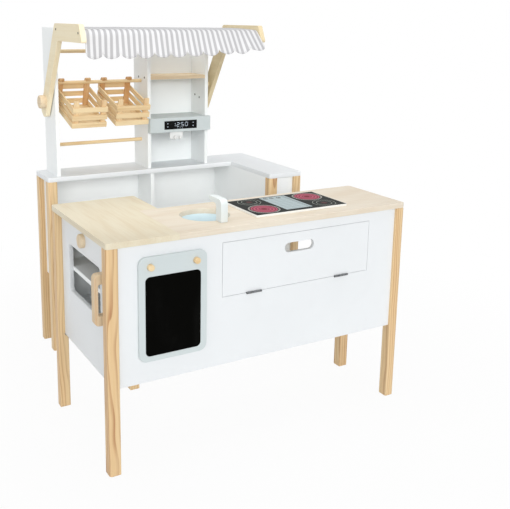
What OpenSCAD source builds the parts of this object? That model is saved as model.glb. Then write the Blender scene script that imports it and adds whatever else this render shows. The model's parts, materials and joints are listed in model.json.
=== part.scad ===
// Children's play shop in two free-standing units: a kitchen counter with an oven, sink, hob,
// chalkboard and serving flap, and a market stall with crates, shelves and a striped awning.
// Lengths are in millimetres, +Z is up and the front faces -Y.

/* [Boards and legs] */
// Side of the square legs
leg_w = 30; // [24:1:36]
// Radius of each leg's outer corner and of the worktop corner above it
leg_round = 8; // [2:1:11]
// Thickness of the panels and shelves
board_t = 12; // [9:1:14]
// Thickness of the worktops
top_t = 15; // [12:1:18]
// Height of both counters
counter_h = 600; // [560:1:660]

/* [Kitchen counter] */
// Overall width of the kitchen counter
kitchen_w = 912; // [890:1:960]
// Depth of the long part with the sink and the hob
counter_d = 255; // [245:1:280]
// Depth of the left part that holds the oven
oven_d = 424; // [415:1:450]
// Width of the oven part behind the long part
oven_w = 247; // [235:1:260]
// Distance from the left end to the seam between the two worktop boards
seam_x = 191; // [170:1:220]
// Height of the lower edge of the kitchen panels
kitchen_low = 228; // [200:1:240]
// How far the panels lie behind the outer faces of the legs
panel_inset = 7; // [4:1:10]

/* [Serving flap] */
// Height of the flap
flap_h = 144; // [130:1:155]
// Distance from the left end of the counter to the flap
flap_x = 315; // [300:1:330]
// Distance from the right end of the counter to the flap
flap_from_right = 124; // [110:1:150]
// Height of the panel above the flap
flap_top_rail = 26; // [20:1:34]
// Gap round the sides and top of the flap
flap_gap = 1; // [0.8:0.1:3]
// Length of the hand slot
slot_w = 95; // [80:1:110]
// Height of the hand slot
slot_h = 27; // [22:1:34]
// Distance from the top of the flap to the middle of the hand slot
slot_drop = 40; // [30:1:48]
// Distance from each end of the flap to the middle of its hinge
flap_hinge_in = 94; // [60:1:110]

/* [Hinges] */
// Length of each butt hinge
hinge_l = 45; // [36:1:60]
// Depth of each leaf behind the face of the board
leaf_d = 10; // [7:0.5:11]
// Thickness of the leaves
leaf_t = 1.5; // [1:0.1:2]
// Outer radius of the knuckles
barrel_r = 3; // [2.6:0.1:3.5]
// Radius of the hinge pins
pin_r = 1.5; // [1:0.1:1.8]

/* [Oven] */
// Distance from the legs' outer faces to the face of the oven door
door_inset = 18; // [10:0.5:20]
// Gap between the oven door and the legs and worktop
door_gap = 1; // [0.8:0.1:3]
// Height of the oven door's lower edge
door_low = 228; // [215:1:250]
// Width of the window in the oven door
window_w = 238; // [200:1:245]
// Height of the window
window_h = 133; // [110:1:140]
// Distance from the door's front edge to the window
window_in = 61; // [54:1:66]
// Distance from the door's upper edge to the window
window_drop = 72.5; // [66:0.5:84]
// Corner radius of the window
window_r = 10; // [4:1:18]
// Length of the door handle
handle_l = 131; // [120:1:150]
// Width of the door handle along the door
handle_w = 22; // [16:1:28]
// How far the handle stands out from the door
handle_out = 30; // [24:1:36]
// Thickness of the handle's grip
handle_bar = 10.5; // [7:0.5:13]
// Length of the finger gap behind the grip
handle_slot = 80; // [70:1:96]
// Distance from the door's upper edge to the middle of the handle
handle_drop = 139.5; // [120:0.5:160]
// Radius of the oven knob
knob_r = 18.5; // [15:0.5:19]
// Height of the oven knob off the door
knob_h = 12; // [9:0.5:16]
// Distance from the door's front edge to the knob's axis
knob_in = 180; // [150:1:210]
// Distance from the door's upper edge to the knob's axis
knob_drop = 34; // [26:0.5:42]
// Height of the oven floor's upper face
oven_floor_z = 325; // [300:1:350]
// Height of the oven shelf's upper face
oven_shelf_z = 444; // [420:1:460]

/* [Hob] */
// Depth of the hob plate
hob_d = 173; // [150:1:185]
// Thickness of the hob plate
hob_t = 6; // [4:0.5:9]
// Distance from the right end of the counter to the hob
hob_from_right = 174; // [150:1:190]
// Distance from the front of the counter to the hob
hob_from_front = 44; // [35:1:55]
// Distance from the sink's hole to the hob
hob_gap = 38; // [25:1:60]

/* [Sink and tap] */
// Distance from the left end of the counter to the middle of the sink
sink_x = 332; // [320:1:345]
// Distance from the front of the counter to the middle of the sink
sink_y = 138; // [130:1:150]
// Radius of the sink's hole in the worktop
sink_r = 68; // [55:1:72]
// Depth of the sink bowl below the worktop
sink_depth = 45; // [35:1:60]
// Thickness of the bowl's wall
sink_wall = 2.5; // [1.5:0.1:4]
// How far the tap's axis lies to the right of the middle of the sink
tap_aside = 6; // [0:1:20]
// Gap between the sink's hole and the tap
tap_gap = 0.5; // [0.5:0.5:6]
// Height of the tap
tap_h = 60; // [50:1:70]
// Thickness of the board that the tap is cut from
tap_t = 20; // [14:1:24]
// Width of the tap's upright
tap_d = 28; // [22:1:32]
// Reach of the spout from the tap's axis
tap_reach = 54; // [44:1:80]
// Height of the spout
spout_h = 14; // [11:1:18]

/* [Chalkboard] */
// Width of the chalkboard
chalk_w = 184; // [170:1:200]
// Height of the chalkboard
chalk_h = 268; // [250:1:290]
// Thickness of the chalkboard
chalk_t = 9; // [6:0.5:12]
// Distance from the left end of the counter to the middle of the chalkboard
chalk_x = 173; // [155:1:190]
// Distance from the worktop down to the chalkboard
chalk_drop = 32; // [25:1:45]
// Width of the black slate
slate_w = 150; // [130:1:158]
// Height of the black slate
slate_h = 204; // [190:1:212]
// Height of the frame below the slate
slate_up = 14; // [10:1:20]
// Radius of the wooden pegs
peg_r = 8; // [6:0.5:9]
// Distance between the two pegs
peg_span = 124; // [110:1:136]
// Distance from the chalkboard's upper edge to the pegs
peg_drop = 25; // [20:1:30]
// How far the pegs stand out of the chalkboard
peg_out = 10; // [6:0.5:14]

/* [Market stall] */
// Distance from the kitchen's left end to the stall's left end
stall_x = 96; // [60:1:140]
// Distance from the kitchen's front to the stall's front edge
stall_y = 773; // [740:1:820]
// Width of the stall's counter
stall_w = 812; // [780:1:840]
// Depth of the stall's counter
stall_d = 142; // [135:1:170]
// Width of the wing at the stall's right end
wing_w = 129; // [115:1:150]
// How far the wing reaches in front of the counter
wing_out = 263; // [200:1:290]
// Height of the lower edge of the stall's panels
stall_low = 247; // [220:1:260]
// Distance from the stall's left end to the lower divider
lower_divider_x = 367; // [340:1:390]
// Distance from the counter's front edge to the lower divider
lower_setback = 10; // [6:1:20]

/* [Upper stall] */
// Height of the upper boards
upper_h = 478; // [460:1:490]
// Depth of the upper boards
upper_d = 118; // [105:1:125]
// Distance from the counter's front edge to the upper boards
upper_setback = 12; // [8:1:16]
// Distance from the stall's left end to the left post
post_x = 35; // [30:1:44]
// Distance from the stall's left end to the upper divider
divider_x = 357; // [345:1:370]
// Distance from the stall's left end to the right panel
right_panel_x = 578; // [565:1:590]
// Height of the upper shelf above the counter
shelf_up = 306; // [280:1:340]

/* [Till display] */
// Height of the display's lower edge above the counter
display_up = 125; // [110:1:140]
// Height of the display's fascia
fascia_h = 50; // [44:1:60]
// Thickness of the fascia
fascia_t = 20; // [14:1:24]
// Width of the black screen
screen_w = 125; // [110:1:140]
// Height of the black screen
screen_h = 29; // [24:1:34]
// Height of the fascia below the screen
screen_up = 9.5; // [6:0.5:12]
// Width of the double hook under the fascia
hook_w = 50; // [40:1:60]
// How far the hook hangs to the left of the fascia's middle
hook_aside = 12; // [0:1:30]
// Height of the double hook
hook_h = 26; // [22:1:32]

/* [Rails and crates] */
// Radius of the rails and of the awning's rods
rail_r = 6; // [5:0.5:7]
// Distance from the front of the upper boards to the rails
rail_in = 57; // [50:1:64]
// Heights of the rails above the counter: lower rail, crate rail and top rail
rail_ups = [96, 300, 402];
// Width of a crate
crate_w = 116; // [104:1:126]
// Distance from the rail's axis to the crate's front face
crate_front = 166; // [145:1:180]
// Height of the rail's axis above the upper slats
crate_head = 21; // [15:1:30]
// Distance from the left post to the middle of the left crate
crate_in = 74; // [68:1:80]
// Distance between the middles of the crates
crate_pitch = 147; // [138:1:158]
// Height of a slat
slat_h = 16.5; // [14:0.5:19]
// Gap between two slats
slat_gap = 9.5; // [6:0.5:12]
// How much higher the rear slats lie
rear_up = 9; // [4:0.5:12]
// Thickness of a slat
slat_t = 5; // [3:0.5:7]
// Width of a corner post
crate_post_w = 16; // [13:1:22]
// Thickness of a corner post
crate_post_t = 8; // [6:0.5:10]
// Angle by which the crates hang with their fronts down
crate_tilt = 17; // [5:1:25]

/* [Awning] */
// Thickness of the awning's arms
arm_t = 15; // [12:1:18]
// Height of the arms' upper edge above the counter
arm_up = 492; // [485:1:510]
// Reach of the arms in front of the upper boards
arm_reach = 327; // [290:1:345]
// Length of an arm's head from its lower front corner to its heel
head_l = 251; // [225:1:265]
// How far the head's upper front corner lies behind its lower one
head_setback = 24; // [0:1:36]
// Height of an arm's head
head_h = 52; // [46:1:60]
// Width of an arm's leg
arm_leg_w = 50; // [44:1:56]
// Lean of an arm's leg from the vertical
arm_lean = 32; // [28:1:36]
// Height of an arm from its upper edge to the end of its leg
arm_drop = 282; // [260:1:300]
// Distance from the arms' upper edge to the front rod
rod_drop = 25; // [22:1:30]
// Distance from the arms' upper edge to the back rod
back_rod_drop = 17.5; // [14:0.5:22]
// Gap between the left arm and the left post, bridged by spacers
left_arm_gap = 3; // [2:0.5:6]
// Gap between the right panel and the right arm, bridged by spacers
right_arm_gap = 15; // [8:1:20]
// Distance from the front of the head to the front rod
rod_front = 30; // [26:1:36]
// Distance from the rear end of the head to the back rod
rod_back = 15; // [8:1:22]
// Radius of the wooden hanging knob on the left arm
hang_knob_r = 21.5; // [16:0.5:24]
// Height of the hanging knob off the arm
hang_knob_h = 20; // [14:1:24]
// Distance from the end of the leg to the hanging knob
hang_knob_up = 52; // [40:1:70]
// Thickness of the awning cloth with its lining
cloth_t = 1.5; // [1:0.1:2.5]
// Length of the valance from the top of the front rod to the scallops' lowest points
valance_l = 86; // [70:1:100]
// How far the hem stands out at the valance's left end
flare_left = 26; // [16:1:40]
// How far the hem stands out over the middle of the valance
flare_mid = 14; // [10:1:20]
// How far the hem stands out at the valance's right end
flare_right = 50; // [30:1:58]
// Height of the scallops
scallop_h = 17.5; // [8:0.5:24]
// Number of scallops
scallops = 11; // [7:1:13]
// How far the waves of the valance swing at its hem
wave_out = 5; // [2:0.5:6]
// Sag of the cloth between the two rods
cloth_sag = 7; // [3:0.5:12]

/* [Hidden] */
$fn = 64;

// Finishes
pine = [0.84, 0.69, 0.47];
white_board = [0.94, 0.95, 0.96];
plywood = [0.91, 0.87, 0.78];
pale_wood = [0.89, 0.79, 0.62];
pale_blue = [0.82, 0.86, 0.86];
slate_black = [0.06, 0.06, 0.06];
hob_black = [0.20, 0.21, 0.20];
steel = [0.62, 0.63, 0.64];
cloth_grey = [0.85, 0.85, 0.86];

// Clearances and overruns
overrun = 1;
run_play = 0.05;
hang_play = 0.3;
seat_gap = 0.2;

// Shared levels of the kitchen
leg_h = counter_h - top_t;
panel_back = panel_inset + board_t;
kitchen_inner_r = kitchen_w - leg_w;
oven_back_y = oven_d - panel_inset - board_t;
oven_side_x = oven_w - panel_inset - board_t;
oven_leg_y = oven_d - leg_w;

// Hinges: the leaves are let into both boards, and the knuckles stand clear of the faces
barrel_gap = 0.2;
leaf_play = 0.2;
mortise_play = 0.2;
knuckle_gap = 0.3;
knuckles = 3;
hinge_gap = 1;
hinge_proud = barrel_r + barrel_gap;
knuckle_l = (hinge_l - (knuckles - 1) * knuckle_gap) / knuckles;
pin_end = 1;

// Serving flap
flap_open_top = leg_h - flap_top_rail;
flap_top = flap_open_top - flap_gap;
flap_low = flap_top - flap_h;
flap_open_low = flap_low - hinge_gap;
flap_w = kitchen_w - flap_x - flap_from_right;
flap_mid_x = flap_x + flap_w / 2;
flap_axis_y = panel_inset - hinge_proud;
flap_axis_z = flap_open_low + hinge_gap / 2;

// Oven door, which turns on two upright pins in its round rear edge
door_front_y = leg_w + door_gap;
door_back_y = oven_leg_y - door_gap;
door_top = leg_h - door_gap;
door_back_x = door_inset + board_t;
door_edge_r = board_t / 2;
door_axis_x = door_inset + door_edge_r;
door_axis_y = door_back_y - door_edge_r;
oven_in_x = max(leg_w, door_back_x + hang_play);
pivot_r = 2.5;
pivot_in = 8;
pivot_end = 1;
plate_t = 2;
plate_h = 12;
plate_tail = 16;
plate_top = door_low - door_gap;
handle_in = (window_in - handle_w) / 2;
handle_round = 12;
handle_slot_round = 4;
handle_z = door_top - handle_drop;
knob_y = door_front_y + knob_in;
knob_z = door_top - knob_drop;
knob_stem_r = 4;
knob_round = 3;

// Hob, sink and tap
hob_x = sink_x + sink_r + hob_gap;
hob_w = kitchen_w - hob_from_right - hob_x;
hob_round = 6;
rim_w = 6;
rim_t = 2;
bowl_round = 24;
tap_x = sink_x + tap_aside;
tap_y = sink_y - sink_r - tap_gap - tap_d / 2;
tap_stem_r = 7;
tap_stem_tail = 5;
tap_round = 14;
tap_inner_round = 8;

// Chalkboard
chalk_top = leg_h - chalk_drop;
chalk_low = chalk_top - chalk_h;
chalk_face_y = panel_inset - chalk_t;
chalk_round = 20;
slate_t = 2;
slate_round = 12;
peg_z = chalk_top - peg_drop;
peg_tip_y = chalk_face_y - peg_out;
peg_tenon_r = 4;
peg_round = 1.5;

// Shared places of the stall
stall_right = stall_x + stall_w;
stall_back = stall_y + stall_d;
wing_x = stall_right - wing_w;
wing_y = stall_y - wing_out;
stall_side_in = 18;
stall_back_in = 5;
wing_front_in = 10;
back_panel_y = stall_back - stall_back_in - board_t;
side_panel_x = stall_x + stall_side_in;
wing_outer_x = stall_right - stall_side_in - board_t;
stall_floor_top = stall_low + board_t;

// Upper boards
upper_front = stall_y + upper_setback;
upper_back = upper_front + upper_d;
upper_top = counter_h + upper_h;
left_post_x = stall_x + post_x;
bay_x = left_post_x + board_t;
upper_divider_x = stall_x + divider_x;
niche_x = upper_divider_x + board_t;
niche_r = stall_x + right_panel_x;
upper_right = niche_r + board_t;
upper_back_y = upper_back - board_t;

// Till display
display_z = counter_h + display_up;
display_top = display_z + fascia_h;
fascia_y = upper_front - fascia_t;
fascia_mid_x = (upper_divider_x + upper_right) / 2;
screen_t = 2;
hook_t = 4;
prong_t = 5;
prong_w = 6;
prong_out = 13;
prong_span = 20;
hook_round = 6;

// Rails and crates
rail_y = upper_front + rail_in;
rail_zs = [for (up = rail_ups) counter_h + up];
crate_rail_z = rail_zs[1];
rail_socket = 8;
notch_r = rail_r + hang_play;
hook_r = notch_r + crate_post_t;
lip_front = 5;
crate_floor_t = 4;
crate_xs = [bay_x + crate_in, bay_x + crate_in + crate_pitch];
slats = 3;
crate_drop = crate_head + slats * slat_h + (slats - 1) * slat_gap;
crate_half = crate_w / 2;
slat_in = crate_half - slat_t;
wall_front = crate_front - slat_t;

// Awning
arm_top = counter_h + arm_up;
arm_front_y = upper_front - arm_reach;
arm_heel_y = arm_front_y + head_l;
arm_leg_l = arm_drop / cos(arm_lean);
along = [sin(arm_lean), -cos(arm_lean)];
across = [cos(arm_lean), sin(arm_lean)];
arm_heel = [arm_heel_y, arm_top];
arm_knee_l = (head_h - arm_leg_w * sin(arm_lean)) / cos(arm_lean);
left_arm_x = left_post_x - left_arm_gap - arm_t;
left_arm_in = left_arm_x + arm_t;
right_arm_x = upper_right + right_arm_gap;
spacer_r = 9;
spacer_shares = [0.7, 0.88];
rod_ys = [arm_front_y + rod_front, arm_heel_y - rod_back];
rod_zs = [arm_top - rod_drop, arm_top - back_rod_drop];
rod_socket = 9;
head_round = 6;
heel_round = 15;
knee_round = 8;
foot_round = 18;
hang_knob_round = 4;
hang_knob_at = arm_heel + (arm_leg_l - hang_knob_up) * along - arm_leg_w / 2 * across;

// Awning cloth: a grid of points across the scallops and along the sheet
cloth_side = 1;
cloth_w = right_arm_x - left_arm_in - 2 * cloth_side;
cloth_x = left_arm_in + cloth_side;
cols_per_scallop = 4;
cloth_cols = scallops * cols_per_scallop;
corner_share = tan(22.5);
drop_shares = [0.35, 0.7, 1];
sag_shares = [0.3, 0.7];
scallop_w = cloth_w / scallops;
wave_turns_share = 0.5;
drift_share = 0.35;
flare_share = 0.3;

// Middle of the set's footprint, which is the origin
x_mid = (kitchen_w + door_inset - handle_out) / 2;
y_mid = (stall_back + peg_tip_y) / 2;

// Moves the children from the kitchen's front left corner to the origin
module set_frame() {
    translate([-x_mid, -y_mid, 0])
        children();
}

// A board between two opposite corners
module block(low, high) {
    translate(low)
        cube(high - low);
}

// A rectangle between two opposite corners
module area(low, high) {
    translate(low)
        square(high - low);
}

// What is taken off a square corner to round it; in_x and in_y point into the board
module corner_off(at, in_x, in_y, r) {
    translate(at)
        mirror([in_x < 0 ? 1 : 0, 0])
            mirror([0, in_y < 0 ? 1 : 0])
                difference() {
                    translate([-overrun, -overrun])
                        square(r + overrun);
                    translate([r, r])
                        circle(r);
                }
}

// A rectangle with four round corners
module round_area(low, high, r) {
    area(low + [r, 0], high - [r, 0]);
    area(low + [0, r], high - [0, r]);
    for (x = [low[0] + r, high[0] - r])
        for (y = [low[1] + r, high[1] - r])
            translate([x, y])
                circle(r);
}

// A slot with round ends about its middle
module slot_area(middle, w, h) {
    half = [(w - h) / 2, h / 2];
    area(middle - half, middle + half);
    for (side = [-1, 1])
        translate(middle + [side * half[0], 0])
            circle(half[1]);
}

// An upright board with its outline in X and Z and its front at y
module upright_xz(y, t) {
    translate([0, y + t, 0])
        rotate([90, 0, 0])
            linear_extrude(t)
                children();
}

// An upright board with its outline in Y and Z and its left face at x
module upright_yz(x, t) {
    translate([x, 0, 0])
        rotate([90, 0, 90])
            linear_extrude(t)
                children();
}

// A level board with its outline in X and Y and its underside at z
module level_xy(z, t) {
    translate([0, 0, z])
        linear_extrude(t)
            children();
}

// A round bar along X from the plane x
module bar_x(x, y, z, l, r) {
    translate([x, y, z])
        rotate([0, 90, 0])
            cylinder(h = l, r = r);
}

// A round bar along Y from the plane y
module bar_y(x, y, z, l, r) {
    translate([x, y + l, z])
        rotate([90, 0, 0])
            cylinder(h = l, r = r);
}

// A turned disc of a given height whose far edge is rounded, standing on z = 0
module turned_disc(r, h, edge) {
    rotate_extrude() {
        square([r, h - edge]);
        square([r - edge, h]);
        translate([r - edge, h - edge])
            intersection() {
                circle(edge);
                square(edge);
            }
    }
}

// Points of an arc that rounds the corner p between its neighbours a and b
function unit(v) = v / norm(v);
function rounded(a, p, b, r, steps = 8) =
    let (
        ua = unit(a - p),
        ub = unit(b - p),
        half = acos(ua * ub) / 2,
        reach = r / tan(half),
        middle = p + unit(ua + ub) * r / sin(half),
        from = p + ua * reach - middle,
        to = p + ub * reach - middle,
        turn = acos(unit(from) * unit(to))
    )
    [for (i = [0 : steps])
        middle + (from * sin(turn * (1 - i / steps)) + to * sin(turn * i / steps)) / sin(turn)];

// An outline whose corners are rounded by the radii in rs, where a radius of zero stays sharp
function outline(ps, rs) =
    let (n = len(ps))
    [for (i = [0 : n - 1])
        each rs[i] > 0 ? rounded(ps[(i + n - 1) % n], ps[i], ps[(i + 1) % n], rs[i]) : [ps[i]]];

// A square leg with one rounded corner; out_x and out_y point to that corner
module leg(x, y, out_x, out_y) {
    color(pine)
        set_frame()
            translate([x, y, 0])
                linear_extrude(leg_h)
                    difference() {
                        square(leg_w);
                        corner_off([out_x < 0 ? 0 : leg_w, out_y < 0 ? 0 : leg_w],
                                   -out_x, -out_y, leg_round);
                    }
}

module kitchen_front_left_leg() {
    leg(0, 0, -1, -1);
}

module kitchen_front_right_leg() {
    leg(kitchen_inner_r, 0, 1, -1);
}

module kitchen_back_left_leg() {
    leg(0, oven_leg_y, -1, 1);
}

module kitchen_back_inner_leg() {
    leg(oven_w - leg_w, oven_leg_y, 1, 1);
}

module kitchen_back_right_leg() {
    leg(kitchen_inner_r, counter_d - leg_w, 1, 1);
}

module worktop_left() {
    color(plywood)
        set_frame()
            difference() {
                level_xy(leg_h, top_t)
                    difference() {
                        union() {
                            area([0, 0], [seam_x, oven_d]);
                            area([0, counter_d], [oven_w, oven_d]);
                        }
                        corner_off([0, 0], 1, 1, leg_round);
                        corner_off([0, oven_d], 1, -1, leg_round);
                        corner_off([oven_w, oven_d], -1, -1, leg_round);
                    }
                on_door_axis(leg_h - overrun)
                    cylinder(h = overrun + pivot_in, r = pivot_r + run_play);
            }
}

module worktop_right() {
    color(plywood)
        set_frame()
            difference() {
                level_xy(leg_h, top_t)
                    difference() {
                        area([seam_x, 0], [kitchen_w, counter_d]);
                        corner_off([kitchen_w, 0], -1, 1, leg_round);
                        corner_off([kitchen_w, counter_d], -1, -1, leg_round);
                    }
                translate([sink_x, sink_y, leg_h - overrun])
                    cylinder(h = top_t + 2 * overrun, r = sink_r);
                translate([tap_x, tap_y, leg_h - overrun])
                    cylinder(h = top_t + 2 * overrun, r = tap_stem_r + run_play);
            }
}

module front_panel() {
    color(white_board)
        set_frame()
            difference() {
                upright_xz(panel_inset, board_t)
                    difference() {
                        area([leg_w, kitchen_low], [kitchen_inner_r, leg_h]);
                        area([flap_x - flap_gap, flap_open_low],
                             [flap_x + flap_w + flap_gap, flap_open_top]);
                    }
                for (side = [-1, 1])
                    bar_y(chalk_x + side * peg_span / 2, panel_inset - overrun, peg_z,
                          board_t + 2 * overrun, peg_tenon_r + run_play);
                at_flap_hinges()
                    leaf_seat(false);
            }
}

module kitchen_end_panel() {
    color(white_board)
        set_frame()
            block([kitchen_w - panel_inset - board_t, leg_w, kitchen_low],
                  [kitchen_w - panel_inset, counter_d - leg_w, leg_h]);
}

module counter_shelf() {
    color(white_board)
        set_frame()
            level_xy(kitchen_low, board_t) {
                area([oven_side_x + board_t, panel_back],
                     [kitchen_inner_r, counter_d - panel_inset]);
                area([oven_side_x + board_t, leg_w],
                     [kitchen_w - panel_inset - board_t, counter_d - leg_w]);
            }
}

module oven_inner_side() {
    color(white_board)
        set_frame()
            block([oven_side_x, panel_back, kitchen_low],
                  [oven_side_x + board_t, oven_leg_y, leg_h]);
}

module oven_back() {
    color(white_board)
        set_frame()
            block([leg_w, oven_back_y, kitchen_low],
                  [oven_w - leg_w, oven_back_y + board_t, leg_h]);
}

// A board inside the oven, notched round the back legs, with its upper face at top
module oven_board(top) {
    color(white_board)
        set_frame()
            level_xy(top - board_t, board_t) {
                area([oven_in_x, panel_back], [oven_side_x, oven_leg_y]);
                area([oven_in_x, leg_w], [oven_w - leg_w, oven_back_y]);
            }
}

module oven_floor() {
    oven_board(oven_floor_z);
}

module oven_shelf() {
    oven_board(oven_shelf_z);
}

module hob_plate() {
    color(hob_black)
        set_frame()
            level_xy(counter_h, hob_t)
                round_area([hob_x, hob_from_front], [hob_x + hob_w, hob_from_front + hob_d],
                           hob_round);
}

// Half of a bowl's section, with its mouth at zero and a round bottom edge
module bowl_section(r, depth, round_r) {
    area([0, round_r - depth], [r, 0]);
    area([0, -depth], [r - round_r, 0]);
    translate([r - round_r, round_r - depth])
        intersection() {
            circle(round_r);
            translate([0, -round_r])
                square(round_r);
        }
}

// The bowl hangs under the worktop by its flange, and its wall is flush with the hole
module sink_bowl() {
    color(pale_blue)
        set_frame()
            translate([sink_x, sink_y, leg_h])
                rotate_extrude()
                    difference() {
                        union() {
                            bowl_section(sink_r + sink_wall, sink_depth, bowl_round);
                            area([0, -rim_t], [sink_r + rim_w, 0]);
                        }
                        bowl_section(sink_r, sink_depth - sink_wall, bowl_round - sink_wall);
                        area([0, 0], [sink_r, overrun]);
                    }
}

// The tap is a flat board cut to an upright with a spout, on a round stem in the worktop
module tap() {
    half = tap_d / 2;
    color(pale_blue)
        set_frame()
            translate([tap_x, tap_y, counter_h]) {
                translate([0, 0, hang_play])
                    upright_yz(-tap_t / 2, tap_t)
                        polygon(outline(
                            [[-half, 0], [half, 0], [half, tap_h - spout_h],
                             [tap_reach, tap_h - spout_h], [tap_reach, tap_h], [-half, tap_h]],
                            [0, 0, tap_inner_round, spout_h / 4, spout_h / 3, tap_round]));
                translate([0, 0, -top_t - tap_stem_tail])
                    cylinder(h = top_t + tap_stem_tail + hang_play + overrun, r = tap_stem_r);
            }
}

// One leaf of a butt hinge; the pin lies along X and the leaf runs back along Y
module hinge_leaf(moving) {
    low = moving ? leaf_play / 2 : -leaf_play / 2 - leaf_t;
    own = moving ? [1] : [0, 2];
    difference() {
        union() {
            block([-hinge_l / 2, barrel_r + knuckle_gap, low],
                  [hinge_l / 2, hinge_proud + leaf_d, low + leaf_t]);
            for (i = own)
                translate([-hinge_l / 2 + i * (knuckle_l + knuckle_gap), 0, 0]) {
                    block([0, 0, low], [knuckle_l, hinge_proud + leaf_d, low + leaf_t]);
                    bar_x(0, 0, 0, knuckle_l, barrel_r);
                }
        }
        bar_x(-hinge_l / 2 - overrun, 0, 0, hinge_l + 2 * overrun, pin_r + run_play);
    }
}

// The two places under the serving flap where a hinge sits
module at_flap_hinges() {
    for (side = [-1, 1])
        translate([flap_mid_x + side * (flap_w / 2 - flap_hinge_in), flap_axis_y, flap_axis_z])
            children();
}

// What is cut out of a board so that one leaf lies in it
module leaf_seat(moving) {
    depth = leaf_play / 2 + leaf_t;
    block([-hinge_l / 2 - mortise_play, hinge_proud - overrun, moving ? 0 : -depth],
          [hinge_l / 2 + mortise_play, hinge_proud + leaf_d + mortise_play, moving ? depth : 0]);
}

// Moves the children to the oven door's axis at the height z
module on_door_axis(z) {
    translate([door_axis_x, door_axis_y, z])
        children();
}

module hinge_fixed_leaves() {
    color(steel)
        set_frame()
            at_flap_hinges()
                hinge_leaf(false);
}

module hinge_pin() {
    bar_x(-hinge_l / 2 - pin_end, 0, 0, hinge_l + 2 * pin_end, pin_r);
}

module hinge_pins() {
    color(steel)
        set_frame() {
            at_flap_hinges()
                hinge_pin();
            on_door_axis(plate_top)
                cylinder(h = door_gap + pivot_in - pivot_end, r = pivot_r);
            on_door_axis(door_top - pivot_in + pivot_end)
                cylinder(h = door_gap + 2 * pivot_in - pivot_end, r = pivot_r);
        }
}

module flap_hinge_leaves() {
    color(steel)
        set_frame()
            at_flap_hinges()
                hinge_leaf(true);
}

// An angle on the inner face of the back left leg, whose tongue carries the door's lower pin
module door_pivot_plate() {
    color(steel)
        set_frame() {
            block([door_inset, door_axis_y - door_edge_r, plate_top - plate_t],
                  [leg_w + plate_t, door_back_y, plate_top]);
            block([leg_w, door_axis_y - door_edge_r, plate_top - plate_h],
                  [leg_w + plate_t, oven_leg_y + plate_tail, plate_top]);
        }
}

module flap_board() {
    color(white_board)
        set_frame()
            difference() {
                upright_xz(panel_inset, board_t)
                    difference() {
                        area([flap_x, flap_low], [flap_x + flap_w, flap_top]);
                        slot_area([flap_mid_x, flap_top - slot_drop], slot_w, slot_h);
                    }
                at_flap_hinges()
                    leaf_seat(true);
            }
}

module oven_door_panel() {
    color(white_board)
        set_frame()
            difference() {
                union() {
                    upright_yz(door_inset, board_t)
                        difference() {
                            area([door_front_y, door_low], [door_axis_y, door_top]);
                            round_area(
                                [door_front_y + window_in, door_top - window_drop - window_h],
                                [door_front_y + window_in + window_w, door_top - window_drop],
                                window_r);
                        }
                    on_door_axis(door_low)
                        cylinder(h = door_top - door_low, r = door_edge_r);
                }
                bar_x(door_inset - overrun, knob_y, knob_z, board_t + 2 * overrun,
                      knob_stem_r + run_play);
                for (z = [door_low - overrun, door_top - pivot_in])
                    on_door_axis(z)
                        cylinder(h = pivot_in + overrun, r = pivot_r + run_play);
            }
}

module oven_door_handle() {
    half = handle_l / 2;
    gap = handle_out - handle_bar;
    color(pale_wood)
        set_frame()
            translate([door_inset, 0, handle_z])
                upright_xz(door_front_y + handle_in, handle_w)
                    difference() {
                        polygon(outline(
                            [[0, -half], [-handle_out, -half], [-handle_out, half], [0, half]],
                            [0, handle_round, handle_round, 0]));
                        polygon(outline(
                            [[overrun, -handle_slot / 2], [-gap, -handle_slot / 2],
                             [-gap, handle_slot / 2], [overrun, handle_slot / 2]],
                            [0, handle_slot_round, handle_slot_round, 0]));
                    }
}

module oven_knob() {
    color(pale_wood)
        set_frame()
            translate([door_inset - hang_play, knob_y, knob_z]) {
                rotate([0, -90, 0])
                    turned_disc(knob_r, knob_h, knob_round);
                bar_x(-overrun, 0, 0, overrun + hang_play + board_t, knob_stem_r);
            }
}

module chalkboard_pegs() {
    color(pale_wood)
        set_frame()
            for (side = [-1, 1])
                translate([chalk_x + side * peg_span / 2, panel_inset, peg_z]) {
                    rotate([90, 0, 0])
                        turned_disc(peg_r, chalk_t + peg_out, peg_round);
                    bar_y(0, -overrun, 0, overrun + board_t, peg_tenon_r);
                }
}

module chalkboard_frame() {
    color(pale_blue)
        set_frame()
            difference() {
                upright_xz(chalk_face_y, chalk_t)
                    round_area([chalk_x - chalk_w / 2, chalk_low],
                               [chalk_x + chalk_w / 2, chalk_top], chalk_round);
                upright_xz(chalk_face_y - overrun, slate_t + overrun)
                    slate_area(seat_gap);
                for (side = [-1, 1])
                    bar_y(chalk_x + side * peg_span / 2, chalk_face_y - overrun, peg_z,
                          chalk_t + 2 * overrun, peg_r + hang_play);
            }
}

// The outline of the slate, grown by a gap for its recess
module slate_area(gap) {
    round_area([chalk_x - slate_w / 2 - gap, chalk_low + slate_up - gap],
               [chalk_x + slate_w / 2 + gap, chalk_low + slate_up + slate_h + gap],
               slate_round + gap);
}

module chalkboard_slate() {
    color(slate_black)
        set_frame()
            upright_xz(chalk_face_y, slate_t)
                slate_area(0);
}

module stall_front_left_leg() {
    leg(stall_x, stall_y, -1, -1);
}

module stall_back_left_leg() {
    leg(stall_x, stall_back - leg_w, -1, 1);
}

module stall_back_right_leg() {
    leg(stall_right - leg_w, stall_back - leg_w, 1, 1);
}

module wing_left_leg() {
    leg(wing_x, wing_y, -1, -1);
}

module wing_right_leg() {
    leg(stall_right - leg_w, wing_y, 1, -1);
}

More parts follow.
